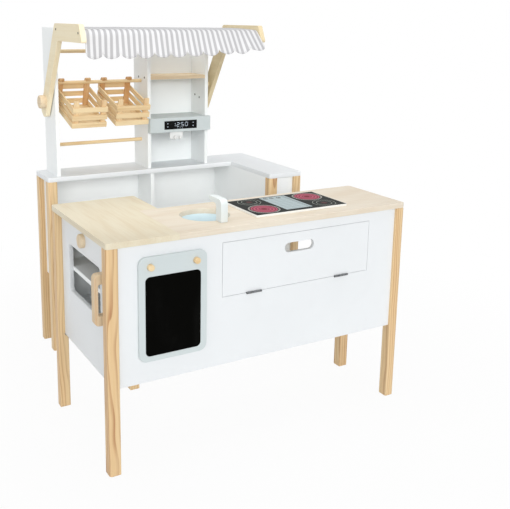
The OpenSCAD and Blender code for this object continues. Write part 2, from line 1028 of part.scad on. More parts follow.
module stall_counter() {
    color(white_board)
        set_frame()
            level_xy(leg_h, top_t)
                difference() {
                    union() {
                        area([stall_x, stall_y], [stall_right, stall_back]);
                        area([wing_x, wing_y], [stall_right, stall_back]);
                    }
                    corner_off([stall_x, stall_y], 1, 1, leg_round);
                    corner_off([stall_x, stall_back], 1, -1, leg_round);
                    corner_off([stall_right, stall_back], -1, -1, leg_round);
                    corner_off([wing_x, wing_y], 1, 1, leg_round);
                    corner_off([stall_right, wing_y], -1, 1, leg_round);
                }
}

module stall_side_panel() {
    color(white_board)
        set_frame()
            block([side_panel_x, stall_y + leg_w, stall_low],
                  [side_panel_x + board_t, stall_back - leg_w, leg_h]);
}

module stall_back_panel() {
    color(white_board)
        set_frame()
            block([stall_x + leg_w, back_panel_y, stall_low],
                  [stall_right - leg_w, back_panel_y + board_t, leg_h]);
}

module stall_lower_divider() {
    color(white_board)
        set_frame()
            block([stall_x + lower_divider_x, stall_y + lower_setback, stall_floor_top],
                  [stall_x + lower_divider_x + board_t, back_panel_y, leg_h]);
}

module stall_floor() {
    color(white_board)
        set_frame()
            level_xy(stall_low, board_t) {
                area([stall_x + leg_w, stall_y + lower_setback], [wing_x, back_panel_y]);
                area([side_panel_x + board_t, stall_y + leg_w], [wing_x, stall_back - leg_w]);
            }
}

module wing_inner_panel() {
    color(white_board)
        set_frame()
            block([wing_x, wing_y + leg_w, stall_low], [wing_x + board_t, back_panel_y, leg_h]);
}

module wing_front_panel() {
    color(white_board)
        set_frame()
            block([wing_x + leg_w, wing_y + wing_front_in, stall_low],
                  [stall_right - leg_w, wing_y + wing_front_in + board_t, leg_h]);
}

module wing_outer_panel() {
    color(white_board)
        set_frame()
            block([wing_outer_x, wing_y + leg_w, stall_low],
                  [wing_outer_x + board_t, stall_back - leg_w, leg_h]);
}

// An upper board with its left face at x
module upper_board(x) {
    block([x, upper_front, counter_h], [x + board_t, upper_back, upper_top]);
}

// The blind sockets of the rails, cut from the plane x along the given length
module rail_sockets(x, l) {
    for (z = rail_zs)
        bar_x(x, rail_y, z, l, rail_r + run_play);
}

module left_post() {
    color(white_board)
        set_frame()
            difference() {
                upper_board(left_post_x);
                rail_sockets(bay_x - rail_socket, rail_socket + overrun);
            }
}

module upper_divider() {
    color(white_board)
        set_frame()
            difference() {
                upper_board(upper_divider_x);
                rail_sockets(upper_divider_x - overrun, rail_socket + overrun);
            }
}

module right_panel() {
    color(white_board)
        set_frame()
            upper_board(niche_r);
}

module upper_back_panel() {
    color(white_board)
        set_frame()
            block([niche_x, upper_back_y, counter_h], [niche_r, upper_back, upper_top]);
}

module upper_shelf() {
    color(pale_wood)
        set_frame()
            block([niche_x, upper_front, counter_h + shelf_up],
                  [niche_r, upper_back_y, counter_h + shelf_up + board_t]);
}

// The outline of the display's screen, grown by a gap for its recess
module screen_area(gap) {
    area([fascia_mid_x - screen_w / 2 - gap, display_z + screen_up - gap],
         [fascia_mid_x + screen_w / 2 + gap, display_z + screen_up + screen_h + gap]);
}

module display_fascia() {
    color(pale_blue)
        set_frame()
            difference() {
                block([upper_divider_x, fascia_y, display_z],
                      [upper_right, upper_front, display_top]);
                upright_xz(fascia_y - overrun, screen_t + overrun)
                    screen_area(seat_gap);
            }
}

module display_shelf() {
    color(pale_blue)
        set_frame()
            block([niche_x, upper_front, display_top - board_t],
                  [niche_r, upper_back_y, display_top]);
}

module display_screen() {
    color(slate_black)
        set_frame()
            upright_xz(fascia_y, screen_t)
                screen_area(0);
}

// A plate under the fascia with two prongs that turn up at their tips
module display_hook() {
    color(white_board)
        set_frame()
            translate([fascia_mid_x - hook_aside, upper_front - fascia_t / 2, display_z - hook_h]) {
                upright_xz(0, hook_t)
                    difference() {
                        area([-hook_w / 2, 0], [hook_w / 2, hook_h]);
                        corner_off([-hook_w / 2, 0], 1, 1, hook_round);
                        corner_off([hook_w / 2, 0], -1, 1, hook_round);
                    }
                for (side = [-1, 1])
                    upright_yz(side * prong_span / 2 - prong_w / 2, prong_w)
                        polygon(outline(
                            [[hook_t, 0], [-prong_out, 0], [-prong_out, prong_out],
                             [prong_t - prong_out, prong_out], [prong_t - prong_out, prong_t],
                             [hook_t, prong_t]],
                            [0, prong_t, prong_t / 3, prong_t / 3, prong_t / 2, 0]));
            }
}

module rails() {
    color(pale_wood)
        set_frame()
            for (z = rail_zs)
                bar_x(bay_x - rail_socket, rail_y, z,
                      upper_divider_x - bay_x + 2 * rail_socket, rail_r);
}

// Moves the children from a crate's own frame, at the rail, to where the crate hangs
module hung_on_rail(i) {
    set_frame()
        translate([crate_xs[i], rail_y, crate_rail_z])
            rotate([crate_tilt, 0, 0])
                children();
}

// The side of a rear corner post, whose head hooks over the rail
module hook_outline() {
    area([notch_r, crate_floor_t - crate_drop], [hook_r, 0]);
    intersection() {
        difference() {
            circle(hook_r);
            circle(notch_r);
        }
        area([-lip_front, 0], [hook_r, hook_r]);
    }
}

module crate_posts(i) {
    color(pale_wood)
        hung_on_rail(i)
            for (x = [-slat_in, slat_in - crate_post_w]) {
                upright_yz(x, crate_post_w)
                    hook_outline();
                block([x, -wall_front, crate_floor_t - crate_drop],
                      [x + crate_post_w, crate_post_t - wall_front, 0]);
            }
}

// Each slat and the floor stay separate boards, a seat gap from one another
module crate_boards(i) {
    color(pale_wood)
        hung_on_rail(i) {
            for (row = [0 : slats - 1])
                translate([0, 0, row * (slat_h + slat_gap) - crate_drop]) {
                    block([-crate_half, -crate_front, 0], [crate_half, -wall_front, slat_h]);
                    block([-crate_half, hook_r, rear_up],
                          [crate_half, hook_r + slat_t, rear_up + slat_h]);
                    for (x = [-crate_half, slat_in])
                        block([x, seat_gap - wall_front, 0],
                              [x + slat_t, hook_r - seat_gap, slat_h]);
                }
            block([seat_gap - slat_in, seat_gap - wall_front, -crate_drop],
                  [slat_in - seat_gap, hook_r - seat_gap, crate_floor_t - crate_drop]);
        }
}

module left_crate_posts() {
    crate_posts(0);
}

module left_crate_boards() {
    crate_boards(0);
}

module right_crate_posts() {
    crate_posts(1);
}

module right_crate_boards() {
    crate_boards(1);
}

// The side of an awning arm: a level head on a leaning leg
module arm_outline() {
    foot_rear = arm_heel + arm_leg_l * along;
    polygon(outline(
        [[arm_front_y, arm_top - head_h], [arm_front_y + head_setback, arm_top],
         arm_heel, foot_rear,
         foot_rear - arm_leg_w * across, arm_heel - arm_leg_w * across + arm_knee_l * along],
        [head_round, head_round, heel_round, foot_round, foot_round, knee_round]));
}

// An awning arm with its left face at x, its rod sockets cut from the plane socket_x
// and round spacers from the plane spacer_x to the board that it is screwed to
module awning_arm(x, socket_x, spacer_x, spacer_l) {
    color(plywood)
        set_frame()
            difference() {
                union() {
                    upright_yz(x, arm_t)
                        arm_outline();
                    for (share = spacer_shares) {
                        at = arm_heel + share * arm_leg_l * along - arm_leg_w / 2 * across;
                        bar_x(spacer_x, at[0], at[1], spacer_l, spacer_r);
                    }
                }
                for (i = [0, 1])
                    bar_x(socket_x, rod_ys[i], rod_zs[i], rod_socket + overrun,
                          rail_r + run_play);
            }
}

module left_awning_arm() {
    awning_arm(left_arm_x, left_arm_in - rod_socket, left_arm_in - overrun,
               overrun + left_arm_gap);
}

module right_awning_arm() {
    awning_arm(right_arm_x, right_arm_x - overrun, upper_right, right_arm_gap + overrun);
}

module awning_rods() {
    color(pale_wood)
        set_frame()
            for (i = [0, 1])
                bar_x(left_arm_in - rod_socket, rod_ys[i], rod_zs[i],
                      right_arm_x - left_arm_in + 2 * rod_socket, rail_r);
}

module hanging_knob() {
    color(pale_wood)
        set_frame()
            translate([left_arm_x, hang_knob_at[0], hang_knob_at[1]])
                rotate([0, -90, 0])
                    turned_disc(hang_knob_r, hang_knob_h, hang_knob_round);
}

// Height of the hem above the scallops' lowest points, a fraction u along the sheet's columns
function lobe(i) =
    let (u = 2 * (i % cols_per_scallop) / cols_per_scallop - 1)
    scallop_h * (1 - sqrt(1 - u * u));

// Sideways swing of the valance at column i
function wave(i) =
    wave_out * sin(360 * wave_turns_share * i / cols_per_scallop)
    * (1 + drift_share * sin(360 * i / cloth_cols));

// How far the hem stands out in front of the rod at column i
function flare(i) =
    let (
        u = i / cloth_cols,
        to_left = max(0, 1 - u / flare_share),
        to_right = max(0, 2 * u - 1)
    )
    flare_mid + (flare_left - flare_mid) * to_left * to_left
    + (flare_right - flare_mid) * to_right;

// One column of the sheet in Y and Z, where c is the distance from the rods' axes
function sheet_column(i, c) =
    let (
        k = c * corner_share,
        front = rod_ys[0],
        back = rod_ys[1],
        low = rod_zs[0],
        high = rod_zs[1],
        out = flare(i),
        drop = sqrt(valance_l * valance_l - out * out) - lobe(i)
    )
    concat(
        [[back + k, high - c], [back + c, high - k], [back + c, high + k],
         [back + k, high + c], [back - k, high + c]],
        [for (s = sag_shares)
            [back + s * (front - back), high + s * (low - high) + c - cloth_sag]],
        [[front + k, low + c], [front - k, low + c], [front - c, low + k]],
        [for (s = drop_shares)
            [front - c - s * out - s * wave(i), low + rail_r - s * drop]]);

module awning_cloth() {
    inner = rail_r + hang_play;
    rows = len(sheet_column(0, inner));
    step = cloth_w / cloth_cols;
    sheet_points = [for (c = [inner, inner + cloth_t])
        for (i = [0 : cloth_cols])
            for (p = sheet_column(i, c))
                [cloth_x + i * step, p[0], p[1]]];
    side = rows * (cloth_cols + 1);
    last = cloth_cols * rows;
    faces = concat(
        [for (i = [0 : cloth_cols - 1])
            for (j = [0 : rows - 2])
                let (a = i * rows + j, b = a + rows)
                each [[a, a + 1, b + 1], [a, b + 1, b],
                      [side + a, side + b + 1, side + a + 1], [side + a, side + b, side + b + 1]]],
        [for (i = [0 : cloth_cols - 1])
            let (a = i * rows, b = a + rows, e = a + rows - 1, f = b + rows - 1)
            each [[a, b, side + b], [a, side + b, side + a],
                  [e, side + f, f], [e, side + e, side + f]]],
        [for (j = [0 : rows - 2])
            let (e = last + j)
            each [[j, side + j + 1, j + 1], [j, side + j, side + j + 1],
                  [e, e + 1, side + e + 1], [e, side + e + 1, side + e]]]);
    color(cloth_grey)
        set_frame()
            polyhedron(points = sheet_points, faces = faces);
}

kitchen_front_left_leg();
kitchen_front_right_leg();
kitchen_back_left_leg();
kitchen_back_inner_leg();
kitchen_back_right_leg();
worktop_left();
worktop_right();
front_panel();
kitchen_end_panel();
counter_shelf();
oven_inner_side();
oven_back();
oven_floor();
oven_shelf();
hob_plate();
sink_bowl();
tap();
flap_board();
flap_hinge_leaves();
oven_door_panel();
oven_door_handle();
door_pivot_plate();
oven_knob();
hinge_fixed_leaves();
hinge_pins();
chalkboard_pegs();
chalkboard_frame();
chalkboard_slate();
stall_front_left_leg();
stall_back_left_leg();
stall_back_right_leg();
wing_left_leg();
wing_right_leg();
stall_counter();
stall_side_panel();
stall_back_panel();
stall_lower_divider();
stall_floor();
wing_inner_panel();
wing_front_panel();
wing_outer_panel();
left_post();
upper_divider();
right_panel();
upper_back_panel();
upper_shelf();
display_fascia();
display_shelf();
display_screen();
display_hook();
rails();
left_crate_posts();
left_crate_boards();
right_crate_posts();
right_crate_boards();
left_awning_arm();
right_awning_arm();
awning_rods();
awning_cloth();
hanging_knob();
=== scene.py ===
"""Looks of a children's play shop, a kitchen counter and a market stall, around their CAD frame."""

import json
import math
import random

import bmesh
import bpy
from mathutils import Matrix, Vector


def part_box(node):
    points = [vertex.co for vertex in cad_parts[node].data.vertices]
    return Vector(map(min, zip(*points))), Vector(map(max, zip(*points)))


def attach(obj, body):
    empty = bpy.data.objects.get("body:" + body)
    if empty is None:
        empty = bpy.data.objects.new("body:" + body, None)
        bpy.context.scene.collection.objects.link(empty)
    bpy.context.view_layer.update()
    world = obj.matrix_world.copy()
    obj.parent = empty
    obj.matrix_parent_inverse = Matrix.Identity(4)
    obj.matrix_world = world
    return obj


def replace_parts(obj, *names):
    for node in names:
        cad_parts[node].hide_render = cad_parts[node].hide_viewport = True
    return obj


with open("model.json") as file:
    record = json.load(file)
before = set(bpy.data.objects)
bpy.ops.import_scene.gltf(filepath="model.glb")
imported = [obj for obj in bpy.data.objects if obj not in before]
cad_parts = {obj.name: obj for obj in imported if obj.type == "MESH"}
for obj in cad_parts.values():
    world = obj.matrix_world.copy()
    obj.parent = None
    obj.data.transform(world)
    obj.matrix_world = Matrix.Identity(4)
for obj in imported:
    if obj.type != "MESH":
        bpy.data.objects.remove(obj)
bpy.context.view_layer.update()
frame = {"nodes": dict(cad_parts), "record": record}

MM = 0.001
rng = random.Random(11)
SLOT_OF = {row["node"]: row["material_slot"] for row in frame["record"]["subparts"]}
BODY_OF = {
    node: body for body, nodes in frame["record"]["behaviour"]["bodies"].items() for node in nodes
}


# Shader helpers

# The Mix node's sockets for colours, which share their names with its other sockets
MIX_FACTOR = 0
MIX_FIRST = 6
MIX_SECOND = 7
MIX_RESULT = 2


def tint(red, green, blue):
    """A colour as seen on screen, 0 to 255 a channel, as the linear value that a socket takes."""
    def linear(level):
        share = level / 255
        if share <= 0.04045:
            return share / 12.92
        return ((share + 0.055) / 1.055) ** 2.4
    return (linear(red), linear(green), linear(blue), 1.0)


class Value:
    """A shader socket that takes part in Python arithmetic: each operator adds a Math node."""

    def __init__(self, finish, socket):
        self.finish = finish
        self.socket = socket

    def math(self, operation, *others):
        return self.finish.math(operation, self, *others)

    def __add__(self, other):
        return self.math("ADD", other)

    def __sub__(self, other):
        return self.math("SUBTRACT", other)

    def __rsub__(self, other):
        return self.finish.math("SUBTRACT", other, self)

    def __mul__(self, other):
        return self.math("MULTIPLY", other)

    def __truediv__(self, other):
        return self.math("DIVIDE", other)

    def __pow__(self, other):
        return self.math("POWER", other)

    def __lt__(self, other):
        return self.math("LESS_THAN", other)

    def __abs__(self):
        return self.math("ABSOLUTE")

    __radd__ = __add__
    __rmul__ = __mul__


class Finish:
    """A material whose nodes are added one call at a time."""

    def __init__(self, name):
        self.material = bpy.data.materials.new(name)
        self.material.use_nodes = True
        self.nodes = self.material.node_tree.nodes
        self.links = self.material.node_tree.links
        self.shader = self.nodes["Principled BSDF"]

    def node(self, kind, settings=None, sockets=None, output=0):
        """Adds a node, makes its settings, feeds its sockets and returns one of its outputs."""
        made = self.nodes.new(kind)
        for name, setting in (settings or {}).items():
            setattr(made, name, setting)
        self.feed(made, sockets or {})
        return Value(self, made.outputs[output])

    def feed(self, made, sockets):
        """Links or sets the sockets of a node."""
        for name, given in sockets.items():
            if isinstance(given, Value):
                self.links.new(given.socket, made.inputs[name])
            else:
                made.inputs[name].default_value = given

    def surface(self, **sockets):
        """Feeds the shader, with underscores for the spaces in its socket names."""
        self.feed(self.shader, {name.replace("_", " "): given for name, given in sockets.items()})
        return self

    def math(self, operation, *values):
        return self.node("ShaderNodeMath", {"operation": operation}, dict(enumerate(values)))

    def place(self):
        """Object coordinates, which are the frame's own metres."""
        return self.node("ShaderNodeTexCoord", output="Object")

    def facing(self):
        """The direction that the surface faces, in the frame."""
        return self.node("ShaderNodeTexCoord", output="Normal")

    def attribute(self, name, output="Vector"):
        return self.node("ShaderNodeAttribute", {"attribute_name": name}, output=output)

    def parts(self, vector):
        """The three numbers of a vector."""
        first = self.node("ShaderNodeSeparateXYZ", None, {"Vector": vector})
        return [Value(self, out) for out in first.socket.node.outputs]

    def stretched(self, vector, scale):
        """A vector multiplied by three numbers."""
        sockets = {0: vector, 1: scale}
        return self.node("ShaderNodeVectorMath", {"operation": "MULTIPLY"}, sockets)

    def noise(self, vector, scale, detail=2.0, roughness=0.5, distortion=0.0):
        sockets = {"Vector": vector, "Scale": scale, "Detail": detail, "Roughness": roughness,
                   "Distortion": distortion}
        return self.node("ShaderNodeTexNoise", None, sockets)

    def step(self, value, low, high):
        """0 below low, 1 above high, with a smooth rise between them."""
        settings = {"interpolation_type": "SMOOTHSTEP"}
        sockets = {"Value": value, "From Min": low, "From Max": high}
        return self.node("ShaderNodeMapRange", settings, sockets)

    def mix(self, first, second, factor):
        """A colour between two colours."""
        sockets = {MIX_FACTOR: factor, MIX_FIRST: first, MIX_SECOND: second}
        return self.node("ShaderNodeMix", {"data_type": "RGBA"}, sockets, output=MIX_RESULT)

    def bump(self, height, distance, strength=1.0):
        sockets = {"Height": height, "Distance": distance, "Strength": strength}
        return self.node("ShaderNodeBump", None, sockets)


# Finishes

def pine_finish():
    """Clear-varnished pine: growth rings round a pith beside each leg, fibres and warm streaks."""
    f = Finish("pine")
    grain = f.attribute("grain")
    tone = f.attribute("tone", "Fac")
    _, across, through = f.parts(grain)
    sway = f.noise(f.stretched(grain, (2.4, 9, 9)), 1.0, 2.0)
    fibre = f.noise(f.stretched(grain, (18, 900, 900)), 1.0, 3.0)
    streak = f.noise(f.stretched(grain, (1.5, 60, 60)), 1.0, 3.0)
    radius = (across * across + through * through) ** 0.5
    ring = (radius * PINE_RINGS_PER_METRE + sway * PINE_RING_SWAY).math("FRACT")
    late = f.step(ring, 0.45, 0.88) * (1 - f.step(ring, 0.93, 1.0))
    depth = late * (0.25 + 0.75 * tone) * (0.35 + 0.65 * f.step(streak, 0.3, 0.65))
    base = f.mix(tint(*PINE_PALE), tint(*PINE_HONEY), f.step(streak, 0.3, 0.8) * 0.6 + 0.4 * tone)
    ringed = f.mix(base, tint(*PINE_LATE), depth * 0.8)
    colour = f.mix(ringed, tint(*PINE_LATE), f.step(fibre, 0.62, 0.8) * 0.18)
    height = fibre * 0.5 + late * 0.5
    return f.surface(Base_Color=colour, Roughness=0.42 + 0.12 * fibre, Coat_Weight=0.12,
                     Coat_Roughness=0.3, Normal=f.bump(height, 0.1 * MM, 0.5))


def birch_finish(name, pale, shade, ply_pitch, ply_contrast):
    """Birch board: soft figure along the grain, short dark pores and faint layers on the cut edges."""
    f = Finish(name)
    grain = f.attribute("grain")
    tone = f.attribute("tone", "Fac")
    _, _, through = f.parts(grain)
    cloud = f.noise(f.stretched(grain, (5, 26, 26)), 1.0, 3.0)
    figure = f.noise(f.stretched(grain, (9, 240, 240)), 1.0, 4.0)
    pores = f.noise(f.stretched(grain, (70, 1400, 1400)), 1.0, 1.0)
    layer = (through / ply_pitch).math("PINGPONG", 1.0)
    shaded = f.step(cloud * 0.6 + figure * 0.4, 0.36, 0.68) * 0.8 + 0.15 * tone
    base = f.mix(tint(*pale), tint(*shade), shaded)
    pored = f.mix(base, tint(*BIRCH_PORE), f.step(pores, 0.66, 0.8) * 0.25)
    colour = f.mix(pored, tint(*BIRCH_PORE), f.step(layer, 0.35, 0.75) * ply_contrast)
    return f.surface(Base_Color=colour, Roughness=0.46 + 0.12 * figure,
                     Normal=f.bump(figure * 0.6 + pores * 0.4, 0.06 * MM, 0.5))


def bare_wood_finish(name, pale, shade, dark):
    """Lightly oiled softwood with straight lines along the grain, a little different on each piece."""
    f = Finish(name)
    grain = f.attribute("grain")
    tone = f.attribute("tone", "Fac")
    lines = f.noise(f.stretched(grain, (3, 160, 160)), 1.0, 3.0)
    fibre = f.noise(f.stretched(grain, (30, 1200, 1200)), 1.0, 2.0)
    cloud = f.noise(f.stretched(grain, (8, 30, 30)), 1.0, 2.0)
    base = f.mix(tint(*pale), tint(*shade), f.step(cloud, 0.3, 0.7) * 0.5 + 0.5 * tone)
    lined = f.mix(base, tint(*dark), f.step(lines, 0.5, 0.72) * (0.25 + 0.3 * tone))
    colour = f.mix(lined, tint(*dark), f.step(fibre, 0.62, 0.8) * 0.15)
    return f.surface(Base_Color=colour, Roughness=0.55 + 0.12 * fibre,
                     Normal=f.bump(lines * 0.5 + fibre * 0.5, 0.08 * MM, 0.5))


def paint_finish(name, shade, roughness):
    """Satin paint on board: the roller's fine stipple, slow changes of tone and faint rubbed patches."""
    f = Finish(name)
    place = f.place()
    stipple = f.noise(place, 900.0, 2.0)
    cloud = f.noise(place, 5.0, 2.0)
    rubbed = f.step(f.noise(place, 22.0, 4.0), 0.52, 0.72)
    dull = tuple(level * 0.985 for level in shade)
    colour = f.mix(tint(*shade), tint(*dull), f.step(cloud, 0.3, 0.75) * 0.7 + rubbed * 0.3)
    return f.surface(Base_Color=colour, Roughness=roughness + 0.08 * rubbed + 0.06 * stipple,
                     Normal=f.bump(stipple, 0.03 * MM, 0.35))


def plastic_finish(name, shade, roughness):
    """Moulded plastic with a fine grain and slow changes of tone."""
    f = Finish(name)
    place = f.place()
    grain = f.noise(place, 1600.0, 2.0)
    cloud = f.noise(place, 12.0, 2.0)
    dull = tuple(level * 0.95 for level in shade)
    colour = f.mix(tint(*shade), tint(*dull), f.step(cloud, 0.3, 0.75))
    return f.surface(Base_Color=colour, Roughness=roughness + 0.08 * grain,
                     Normal=f.bump(grain, 0.02 * MM, 0.4))


def steel_finish(name, bright, dull):
    """Plated steel with faint brushing and a dull bloom."""
    f = Finish(name)
    place = f.place()
    brush = f.noise(f.stretched(place, (60, 1500, 1500)), 1.0, 2.0)
    bloom = f.noise(place, 160.0, 3.0)
    colour = f.mix(tint(*bright), tint(*dull), f.step(bloom, 0.35, 0.7))
    return f.surface(Base_Color=colour, Metallic=1.0, Roughness=0.32 + 0.14 * brush + 0.1 * bloom,
                     Normal=f.bump(brush, 0.01 * MM, 0.4))


def slate_finish():
    """Matt chalkboard paint with wiped chalk dust."""
    f = Finish("slate")
    place = f.place()
    wiped = f.noise(f.stretched(place, (16, 16, 5)), 1.0, 4.0, 0.6, 0.6)
    speck = f.noise(place, 1500.0, 2.0)
    dust = f.step(wiped, 0.5, 0.85) * (0.4 + 0.6 * speck)
    colour = f.mix(tint(*SLATE_BLACK), tint(*SLATE_DUST), dust * 0.3)
    return f.surface(Base_Color=colour, Roughness=0.84 + 0.12 * speck, Specular_IOR_Level=0.03,
                     Normal=f.bump(speck, 0.04 * MM, 0.4))


def screen_finish():
    """Glossy black display window with faint finger smears."""
    f = Finish("screen")
    place = f.place()
    smear = f.noise(place, 60.0, 3.0)
    colour = f.mix(tint(*SCREEN_BLACK), tint(*SCREEN_SMEAR), f.step(smear, 0.5, 0.8))
    return f.surface(Base_Color=colour, Roughness=0.16 + 0.14 * smear, Specular_IOR_Level=0.1)


def digit_finish():
    """The pale, slightly uneven glow of display segments."""
    f = Finish("display_light")
    place = f.place()
    patch = f.noise(place, 260.0, 2.0)
    colour = f.mix(tint(*DIGIT_LIGHT), tint(*DIGIT_DIM), f.step(patch, 0.3, 0.75))
    return f.surface(Base_Color=colour, Roughness=0.5 + 0.1 * patch)


def hob_finish():
    """A printed face on a white-edged board: two hot rings, two cold rings and a control strip."""
    f = Finish("hob_print")
    low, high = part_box("hob_plate")
    place = f.place()
    x, y, _ = f.parts(place)
    _, _, up = f.parts(f.facing())
    speck = f.noise(place, 700.0, 2.0)

    def ring_distance(centre):
        across = x - centre[0]
        deep = y - centre[1]
        return (across * across + deep * deep) ** 0.5

    def line(value, middle, half_width):
        return 1 - f.step(abs(value - middle), half_width * 0.6, half_width * 1.4)

    colour = f.mix(tint(*HOB_BLACK), tint(*HOB_SPECK), f.step(speck, 0.4, 0.7))
    for centre in HOT_RINGS:
        distance = ring_distance(low + Vector(centre) * MM)
        inside = 1 - f.step(distance, HOT_RING_R * 0.97 * MM, HOT_RING_R * 1.03 * MM)
        wave = (distance / (HOT_RING_PITCH * MM)).math("PINGPONG", 1.0)
        glow = f.mix(tint(*HOT_BRIGHT), tint(*HOT_DARK), f.step(wave, 0.25, 0.75))
        core = 1 - f.step(distance, 6 * MM, 12 * MM)
        colour = f.mix(colour, f.mix(glow, tint(*HOT_CORE), core), inside)
        for radius in HOT_OUTLINES:
            colour = f.mix(colour, tint(*HOT_LINE), line(distance, radius * MM, 0.7 * MM))
    for centre in COLD_RINGS:
        distance = ring_distance(low + Vector(centre) * MM)
        core = 1 - f.step(distance, 7 * MM, 11 * MM)
        colour = f.mix(colour, tint(*COLD_CORE), core * 0.7)
        for radius in COLD_OUTLINES:
            colour = f.mix(colour, tint(*COLD_LINE), line(distance, radius * MM, 0.6 * MM))
    strip_x = x - (low.x + STRIP_MIDDLE * MM)
    strip_y = y - (low.y + (STRIP_FRONT + STRIP_L / 2) * MM)
    strip = (abs(strip_x) < STRIP_W / 2 * MM) * (abs(strip_y) < STRIP_L / 2 * MM)
    cross = (strip_x / (STRIP_CELL * MM)).math("FRACT")
    rows = (strip_y / (STRIP_CELL * MM)).math("FRACT")
    grid = f.math("MAXIMUM", line(cross, 0.5, 0.03), line(rows, 0.5, 0.03))
    panel = f.mix(tint(*STRIP_PALE), tint(*STRIP_GRID), grid * 0.8)
    rail = line(strip_x, STRIP_W * 0.4 * MM, 1.1 * MM)
    panel = f.mix(panel, tint(*STRIP_RAIL), rail)
    for dial in STRIP_DIALS:
        distance = ring_distance(low + Vector(dial) * MM)
        dial_face = 1 - f.step(distance, DIAL_R * 0.9 * MM, DIAL_R * 1.1 * MM)
        panel = f.mix(panel, tint(*DIAL_DARK), dial_face)
        panel = f.mix(panel, tint(*DIAL_LINE), line(distance, DIAL_R * 0.55 * MM, 0.6 * MM))
    printed = f.mix(colour, panel, strip)
    edge_x = f.math("MINIMUM", x - low.x, high.x - x)
    edge_y = f.math("MINIMUM", y - low.y, high.y - y)
    edge = f.math("MINIMUM", edge_x, edge_y)
    bordered = f.mix(tint(*HOB_BORDER), printed, f.step(edge, 1.6 * MM, 2.2 * MM))
    face = f.mix(tint(*HOB_EDGE), bordered, f.step(up, 0.9, 0.97))
    return f.surface(Base_Color=face, Roughness=0.5 + 0.12 * speck, Specular_IOR_Level=0.06,
                     Normal=f.bump(speck, 0.01 * MM, 0.3))


def awning_finish():
    """Woven cotton in grey and white stripes, with stitched hems."""
    f = Finish("awning_stripe")
    across, along, hem = f.parts(f.attribute("cloth"))
    thread = (across / (WEAVE_PITCH * MM)).math("FRACT")
    weft = (along / (WEAVE_PITCH * MM)).math("FRACT")
    over = abs(thread - 0.5) + abs(weft - 0.5)
    slub = f.noise(f.attribute("cloth"), 900.0, 3.0)
    stripe = (across / (STRIPE_PITCH * MM)).math("FRACT")
    grey = f.step(stripe, 0.22, 0.3) * (1 - f.step(stripe, 0.72, 0.8))
    striped = f.mix(tint(*CLOTH_WHITE), tint(*CLOTH_GREY), grey)
    # Slubs darken the cloth's own colour; the weave's crossings get a faint painted shade between the
    # threads
    woven = f.mix(striped, tint(*CLOTH_SHADE), f.step(slub, 0.4, 0.75) * 0.16 + over * 0.06)
    dash = f.step((across / (STITCH_PITCH * MM)).math("PINGPONG", 1.0), 0.3, 0.36)
    seam = (1 - f.step(abs(hem - STITCH_IN * MM), 0.35 * MM, 0.6 * MM)) * dash
    colour = f.mix(woven, tint(*STITCH_GREY), seam * 0.8)
    height = over * 0.5 + slub * 0.5 - seam * 1.5
    return f.surface(Base_Color=colour, Roughness=0.86 + 0.08 * slub, Specular_IOR_Level=0.05,
                     Normal=f.bump(height, 0.12 * MM, 0.5))


def floor_finish():
    """Pale studio floor that shows as white with a trace of the object's shadow."""
    f = Finish("studio_floor")
    speck = f.noise(f.place(), 40.0, 2.0)
    f.surface(Base_Color=f.mix(tint(*FLOOR_PALE), tint(*FLOOR_SPECK), speck), Roughness=0.9)
    light_path = f.node("ShaderNodeLightPath", output="Is Camera Ray")
    outputs = light_path.socket.node.outputs
    seen = light_path + Value(f, outputs["Is Glossy Ray"]) + Value(f, outputs["Is Transmission Ray"])
    white = f.node("ShaderNodeEmission", None, {"Color": (1, 1, 1, 1), "Strength": 1.0})
    lit = Value(f, f.shader.outputs["BSDF"])
    x, y, _ = f.parts(f.place())
    far = f.step((x * x + y * y) ** 0.5, FLOOR_SHADE_R, FLOOR_PLAIN_R)
    share = f.math("MINIMUM", seen, 1.0) * (FLOOR_WHITE_SHARE + (1 - FLOOR_WHITE_SHARE) * far)
    shown = f.node("ShaderNodeMixShader", None, {0: share, 1: lit, 2: white})
    f.links.new(shown.socket, f.nodes["Material Output"].inputs["Surface"])
    return f


# Sizes and colours of the finishes: colours as seen on screen, lengths in millimetres

PINE_PALE = (230, 205, 161)
PINE_HONEY = (217, 178, 126)
PINE_LATE = (158, 96, 50)
PINE_RINGS_PER_METRE = 130
PINE_RING_SWAY = 5.0
BIRCH_PORE = (196, 174, 142)
WORKTOP_PALE = (232, 223, 207)
WORKTOP_SHADE = (221, 206, 184)
LEFT_TOP_PALE = (230, 222, 199)
LEFT_TOP_SHADE = (219, 205, 176)
# The two awning arms are one birch in two copies: a brighter one that paints light on the left arm's
# outer face, and a darker one that paints shade on the right arm's inner face
ARM_PALE = (245, 233, 202)
ARM_SHADE = (239, 223, 186)
SHADED_ARM_PALE = (228, 212, 174)
SHADED_ARM_SHADE = (212, 192, 150)
TURNED_PALE = (228, 210, 180)
TURNED_SHADE = (216, 192, 157)
TURNED_DARK = (190, 152, 112)
TAP_PAINT = (226, 233, 233)
BARE_PALE = (240, 218, 176)
BARE_SHADE = (228, 198, 150)
BARE_DARK = (196, 152, 100)
# Crate posts: the rear posts are pushed to the darker, warmer tones as painted shade, while the front
# posts stay pale
POST_PALE = (240, 216, 174)
REAR_POST_PAINTED_SHADE = (204, 152, 96)
POST_DARK = (168, 108, 60)
PLY_PITCH = 1.5 * MM
